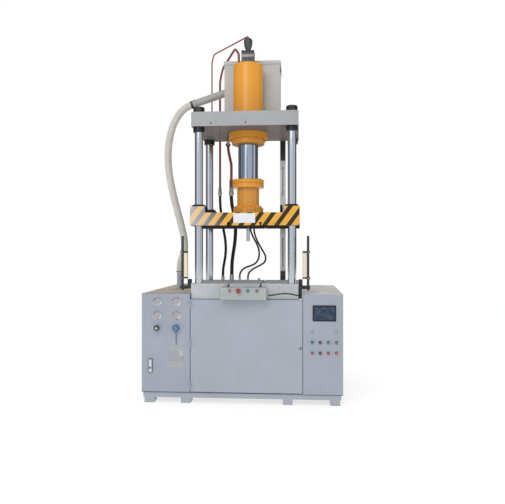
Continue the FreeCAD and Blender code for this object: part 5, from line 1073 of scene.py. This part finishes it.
def make_curtain(side):
    """A black post with its clips, and the cream bar they hold: windows look inwards."""
    name = "left" if side < 0 else "right"
    post_x = AXIS.x + side * 567 * MM
    post_y = (CURTAIN_LOW.y + CURTAIN_HIGH.y) / 2
    posts = Shape()
    base = facing(Vector((post_x, post_y, CURTAIN_LOW.z)), (0, 0, 1))
    height = CURTAIN_HIGH.z - CURTAIN_LOW.z
    posts.turned([(0, 0), (POST_RADIUS, 0), (POST_RADIUS, height - 3 * MM), (POST_RADIUS - 1 * MM, height - 1 * MM),
                  (POST_RADIUS - 3 * MM, height), (0, height)], base, BLACK, 32)
    for level in (1.118, 1.350):
        collar = facing(Vector((post_x, post_y, level)), (0, 0, 1))
        posts.turned([(POST_RADIUS, 0), (15 * MM, 1 * MM), (16 * MM, 4 * MM), (16 * MM, 12 * MM),
                      (15 * MM, 15 * MM), (POST_RADIUS, 16 * MM)], collar, BLACK, 32)
        near, far = sorted((post_x + side * 19 * MM, AXIS.x + side * 517 * MM))
        posts.block((near, post_y - 16 * MM, level), (far, post_y + 16 * MM, level + 16 * MM), BLACK, 1.5 * MM)
        posts.turned([(0, 6 * MM), (3.5 * MM, 6 * MM), (4.2 * MM, 5 * MM), (4.2 * MM, 0)],
                     facing(Vector((post_x + side * 3 * MM, post_y - 14 * MM, level + 6 * MM))), STEEL, 20)
    post = posts.ride("curtain_post_" + name, "frame")
    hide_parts("light_curtains")

    bars = Shape()
    inner, outer = AXIS.x + side * 519 * MM, AXIS.x + side * 553 * MM
    low_x, high_x = sorted((inner, outer))
    cream = MATERIALS["sensor_bar"]
    bars.block((low_x, post_y - 15 * MM, BAR_LOW_Z), (high_x, post_y + 15 * MM, BAR_HIGH_Z), cream, 2.5 * MM)
    window_x = sorted((inner - side * 1.2 * MM, inner + side * 2 * MM))
    bars.block((window_x[0], post_y - 8 * MM, BAR_LOW_Z + 14 * MM),
               (window_x[1], post_y + 8 * MM, BAR_HIGH_Z - 14 * MM), MATERIALS["screen_black"], 0.5 * MM)
    for edge_y in (-1, 1):
        groove_y = sorted((post_y + edge_y * 15.3 * MM, post_y + edge_y * 14 * MM))
        bars.block((low_x + 14 * MM, groove_y[0], BAR_LOW_Z + 10 * MM),
                   (high_x - 14 * MM, groove_y[1], BAR_HIGH_Z - 10 * MM), WHITE_PAINT, 0.4 * MM)
    for level in (BAR_LOW_Z - 1 * MM, BAR_HIGH_Z - 8 * MM):
        bars.block((low_x - 0.4 * MM, post_y - 15.4 * MM, level),
                   (high_x + 0.4 * MM, post_y + 15.4 * MM, level + 9 * MM), BLACK, 1.5 * MM)
    bar = bars.ride("curtain_bar_" + name, "frame")
    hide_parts("light_curtains")


for side in (-1, 1):
    make_curtain(side)

# ---------------------------------------------------------------- control box and panel


def make_bezel(shape, x, z, face, inner, outer, height, material):
    """A ring round a push button."""
    shape.turned([(inner, -0.5 * MM), (inner, height * 0.8), (inner + (outer - inner) * 0.35, height),
                  (outer - 0.8 * MM, height * 0.7), (outer, height * 0.2), (outer, -0.5 * MM)],
                 facing(Vector((x, face, z))), material, 40)


def make_control_box_trim():
    """The box's corner screws and the buttons' rings."""
    face = BOX_LOW.y
    shape = Shape()
    for x in (BOX_LOW.x + 13 * MM, AXIS.x + 200 * MM - 13 * MM):
        for z in (BOX_LOW.z + 12 * MM, BOX_HIGH.z - 12 * MM):
            screw = facing(Vector((x, face, z)))
            shape.turned([(0, 1.2 * MM), (2.6 * MM, 1.1 * MM), (4.2 * MM, 0.3 * MM), (4.2 * MM, -0.3 * MM)],
                         screw, STEEL, 20)
            shape.prism(rounded_rectangle(5.5 * MM, 1.0 * MM, 0.3 * MM), 0.2 * MM,
                        screw @ Matrix.Translation((0, 0, 1.1 * MM)), BLACK)
    for node in ("box_button_red", "box_button_green", "box_button_brown"):
        centre = middle(node)
        make_bezel(shape, centre.x, centre.z, face, 13.8 * MM, 16.5 * MM, 3.6 * MM, STEEL)
    centre = middle("emergency_stop")
    make_bezel(shape, centre.x, centre.z, face, 13.8 * MM, 21.0 * MM, 2.4 * MM, MATERIALS["sensor_bar"])
    shape.ride("control_box_trim", "frame")


def make_panel_trim():
    """Rings round the panel's buttons and selectors, a line on each grip, and the lamps' lenses."""
    shape = Shape()
    for node in ("panel_button_high_1", "selector_high", "panel_button_high_3", "panel_button_high_4",
                 "panel_button_low_1", "selector_low", "panel_button_low_3", "panel_button_low_4"):
        centre = middle(node)
        make_bezel(shape, centre.x, centre.z, DOOR_FACE, 13.8 * MM, 17.0 * MM, 3.6 * MM, STEEL)
    shape.ride("panel_rings", "frame")
    for node, body in (("selector_high", "selector_high"), ("selector_low", "selector_low")):
        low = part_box(node)[0]
        centre = middle(node)
        line = Shape()
        line.prism(rounded_rectangle(1.6 * MM, 10 * MM, 0.6 * MM), 0.3 * MM,
                   facing(Vector((centre.x, low.y, centre.z + 5 * MM))), WHITE_PAINT)
        line.ride(node + "_line", body)
    lamps = Shape()
    for x, lens in ((602.5 * MM, LENS), (815.5 * MM, LENS)):
        place = facing(at(x, -408 * MM, 656 * MM))
        lamps.turned([(0, 11.6 * MM), (5 * MM, 11.0 * MM), (8.5 * MM, 9.2 * MM), (10.4 * MM, 6.6 * MM),
                      (10.8 * MM, 3 * MM), (10.8 * MM, 0)], place, lens, 36)
        lamps.turned([(10.6 * MM, 0), (12.4 * MM, 0), (13.4 * MM, 1 * MM), (12.6 * MM, 4 * MM), (10.8 * MM, 4.6 * MM)],
                     place, STEEL, 36)
    lamps.ride("panel_lamps", "frame")


def make_screen():
    """The screen's dark glass in its frame's shallow recess."""
    shape = Shape()
    width, height = SCREEN_HIGH.x - SCREEN_LOW.x, SCREEN_HIGH.z - SCREEN_LOW.z
    centre = Vector(((SCREEN_LOW.x + SCREEN_HIGH.x) / 2, SCREEN_LOW.y, (SCREEN_LOW.z + SCREEN_HIGH.z) / 2))
    inner = rounded_rectangle(width - 24 * MM, height - 24 * MM, 2 * MM)
    shape.prism(inner, 0.5 * MM, facing(centre + Vector((0, 1.3 * MM, 0))), SCREEN_GLASS)
    shape.ride("screen_glass", "frame")


make_control_box_trim()
make_panel_trim()
make_screen()

# ---------------------------------------------------------------- slide, ram and cylinder details


def make_slide_plate():
    """A bare white plate riveted to the slide's front."""
    low, high = at(-99 * MM, 0, 1.619), at(97 * MM, 0, 1.704)
    centre = Vector(((low.x + high.x) / 2, SLIDE_LOW.y, (low.z + high.z) / 2))
    shape = Shape()
    shape.prism(rounded_rectangle(high.x - low.x, high.z - low.z, 5 * MM), 1.2 * MM, facing(centre), WHITE_PAINT,
                0.4 * MM)
    for x in (-1, 1):
        for z in (-1, 1):
            corner = centre + Vector((x * 90 * MM, -1.2 * MM, z * 34 * MM))
            shape.turned([(0, 1.0 * MM), (1.8 * MM, 0.8 * MM), (2.8 * MM, 0)], facing(corner), STEEL, 18)
    shape.ride("slide_front_plate", "slide")


def make_wiper_rings():
    """Rubber wipers that stand on the slide's guide bushes, round the columns."""
    shape = Shape()
    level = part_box("guide_bushes")[1].z
    for x in (-422 * MM, 422 * MM):
        for y in (-322 * MM, 322 * MM):
            shape.turned([(38.2 * MM, -1 * MM), (58 * MM, -1 * MM), (58 * MM, 6 * MM), (55 * MM, 8 * MM),
                          (41 * MM, 8 * MM), (38.2 * MM, 5 * MM), (38.2 * MM, -1 * MM)],
                         Matrix.Translation(at(x, y, level)), MATERIALS["hose_rubber"], 40)
    shape.ride("wiper_rings", "slide")


def socket_screw(shape, place, radius, height):
    """A cap screw's head with its hexagon socket."""
    shape.turned([(0, height * 0.45), (radius * 0.5, height * 0.45), (radius * 0.52, height), (radius * 0.9, height),
                  (radius, height * 0.9), (radius, 0)], place, MATERIALS["black_oxide"], 24)


def make_clamp_screws():
    """Screws that close the clamp ring's halves, and those that hold the filling valve."""
    shape = Shape()
    for step in range(8):
        angle = math.radians(45 * step + 22.5)
        spot = at(0.128 * math.cos(angle), 0.128 * math.sin(angle), SLEEVE_TOP + 40 * MM)
        socket_screw(shape, Matrix.Translation(spot - Vector((0, 0, 0.5 * MM))), 9 * MM, 8 * MM)
    shape.ride("clamp_screws", "slide")
    shape = Shape()
    for x in (-1, 1):
        for y in (-1, 1):
            socket_screw(shape, Matrix.Translation(at(x * 46 * MM, y * 46 * MM, BARREL_TOP + 126 * MM)), 8 * MM, 8 * MM)
    shape.ride("valve_screws", "frame")


def make_flange_bolts():
    """Hexagon bolts that hold the cylinder's flange under the crown."""
    shape = Shape()
    for step in range(12):
        angle = math.radians(30 * step + 15)
        spot = at(0.166 * math.cos(angle), 0.166 * math.sin(angle), 2.430)
        place = facing(spot, (0, 0, -1))
        shape.prism(hexagon(22 * MM), 9 * MM, place, MATERIALS["orange_paint"], 1 * MM)
    shape.ride("flange_bolts", "frame")


def make_crown_plugs():
    """Plugs in the two tapped holes in the crown's front."""
    shape = Shape()
    for x in (-304 * MM, 10 * MM):
        socket_screw(shape, facing(Vector((AXIS.x + x, CROWN_LOW.y, CROWN_LOW.z + 28 * MM))), 7 * MM, 1.2 * MM)
    shape.ride("crown_plugs", "frame")


def make_valve_bands():
    """A bright band round the filling valve's block, the dark plate on it and two plugs in its front."""
    shape = Shape()
    outline = rounded_rectangle(120 * MM, 120 * MM, 3 * MM)
    for low, high, material in ((67, 91, VALVE_BAND), (106, 126.4, MATERIALS["black_oxide"])):
        shape.prism(outline, (high - low) * MM, Matrix.Translation(at(0, 0, BARREL_TOP + low * MM)), material, 1 * MM)
    for x in (-18 * MM, 18 * MM):
        socket_screw(shape, facing(at(x, -59 * MM, BARREL_TOP + 48 * MM)), 8 * MM, 2 * MM)
    shape.ride("valve_bands", "frame")


def make_rail_covers():
    """Strips that close the sensor rail's slots from behind."""
    low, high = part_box("sensor_rail")
    middle_x = (low.x + high.x) / 2
    shape = Shape()
    for start in (TABLE_HIGH.z + 124 * MM, CROWN_LOW.z - 566 * MM):
        shape.block((middle_x - 10 * MM, high.y - 0.5 * MM, start),
                    (middle_x + 10 * MM, high.y + 1.5 * MM, start + 312 * MM), MATERIALS["frame_paint"], 0.5 * MM)
    shape.ride("rail_covers", "frame")


make_slide_plate()
make_wiper_rings()
make_clamp_screws()
make_flange_bolts()
make_crown_plugs()
make_valve_bands()
make_rail_covers()

# ---------------------------------------------------------------- fittings on hoses and pipes


def fitting(shape, end, direction, radius, sleeve=42 * MM, nut=16 * MM):
    """A crimped sleeve over a hose's end and the nut that joins it."""
    place = facing(end, direction)
    r = radius
    profile = [(r + 0.2 * MM, nut), (r + 2.4 * MM, nut)]
    grooves = 4
    for groove in range(grooves):
        start = nut + (sleeve - nut) * (groove + 0.25) / grooves
        width = (sleeve - nut) / grooves * 0.5
        profile += [(r + 2.4 * MM, start), (r + 1.5 * MM, start + width * 0.25), (r + 1.5 * MM, start + width * 0.75),
                    (r + 2.4 * MM, start + width)]
    profile += [(r + 2.4 * MM, sleeve - 1 * MM), (r + 0.6 * MM, sleeve), (r + 0.2 * MM, sleeve)]
    shape.turned(profile, place, MATERIALS["zinc_steel"], 36)
    shape.prism(hexagon(2 * r + 7 * MM), nut, place, MATERIALS["zinc_steel"], 1 * MM)


def make_hose_fittings():
    down, upward = (0, 0, -1), (0, 0, 1)
    fixed = Shape()
    for route, diameter in ((PRESSURE_ROUTE, PRESSURE_DIAMETER), (RETURN_ROUTE, RETURN_DIAMETER)):
        fitting(fixed, route[0], down, diameter / 2, 18 * MM, 7 * MM)
        fitting(fixed, route[-1], upward, diameter / 2, 26 * MM, 11 * MM)
    for route in (EJECTOR_LEFT_ROUTE, EJECTOR_RIGHT_ROUTE):
        fitting(fixed, route[-1], upward, EJECTOR_DIAMETER / 2, 16 * MM, 7 * MM)
    fixed.ride("hose_fittings", "frame")
    moving = Shape()
    for route in (EJECTOR_LEFT_ROUTE, EJECTOR_RIGHT_ROUTE):
        fitting(moving, route[0], down, EJECTOR_DIAMETER / 2, 32 * MM, 12 * MM)
    moving.ride("slide_hose_fittings", "slide")


def ring_band(shape, centre, direction, radius, width, thickness, material):
    """A band round a pipe with rounded rims."""
    place = facing(centre, direction)
    half = width / 2
    shape.turned([(radius, -half), (radius + thickness, -half + 0.6 * MM), (radius + thickness, half - 0.6 * MM),
                  (radius, half)], place, material, 48)


def make_hose_clamps():
    """Worm clamps at both ends of the suction hose, each with its screw housing."""
    shape = Shape()
    radius = SUCTION_DIAMETER / 2
    for end, following, width, thickness, material in (
            (SUCTION_ROUTE[0], SUCTION_ROUTE[1], 24 * MM, 3 * MM, BLACK),
            (SUCTION_ROUTE[-1], SUCTION_ROUTE[-2], 13 * MM, 1.4 * MM, OLIVE)):
        direction = (following - end).normalized()
        centre = end + direction * 16 * MM
        ring_band(shape, centre, direction, radius, width, thickness, material)
        place = facing(centre, direction) @ Matrix.Rotation(math.radians(-60), 4, "Z")
        housing = place @ Matrix.Translation((0, radius + 1 * MM, 0))
        shape.prism(rounded_rectangle(20 * MM, 9 * MM, 2 * MM), 7 * MM,
                    housing @ Matrix.Translation((0, 0, -3.5 * MM)), MATERIALS["zinc_steel"], 1 * MM)
    shape.ride("hose_clamps", "frame")


def make_pipe_unions():
    """Dull nuts on the pipes at their sleeves."""
    shape = Shape()
    zinc = UNION_ZINC
    for x, radius, low, high in ((-0.330, 15.5 * MM, 1.954, 2.016), (-0.212, 21 * MM, 1.954, 2.021)):
        place = facing(at(x, REAR_LINE_Y, low), (0, 0, 1))
        shape.turned([(radius - 1 * MM, 0), (radius + 1.2 * MM, 0), (radius + 1.2 * MM, high - low),
                      (radius - 1 * MM, high - low)], place, zinc, 40)
        shape.prism(hexagon(2 * radius + 3 * MM), 18 * MM, place, zinc, 1.2 * MM)
    shape.ride("pipe_unions", "frame")


def make_return_joint():
    """The boss on the cylinder's flange where the return pipe starts, and the nut before its elbow."""
    level = (CROWN_LOW.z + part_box("cylinder_barrel")[0].z) / 2
    shape = Shape()
    boss = facing(at(-0.144, 0.108, level), (-0.8, 0.6, 0))
    shape.turned([(24 * MM, 0), (24 * MM, 38 * MM), (21 * MM, 43 * MM), (13 * MM, 43 * MM)], boss,
                 MATERIALS["pipe_paint"], 36)
    shape.prism(hexagon(46 * MM), 26 * MM, facing(at(-0.2385, 0.380, level), (-0.15, 0.989, 0)),
                MATERIALS["black_oxide"], 1.5 * MM)
    shape.ride("return_joint", "frame")


make_hose_fittings()
make_hose_clamps()
make_pipe_unions()
make_return_joint()
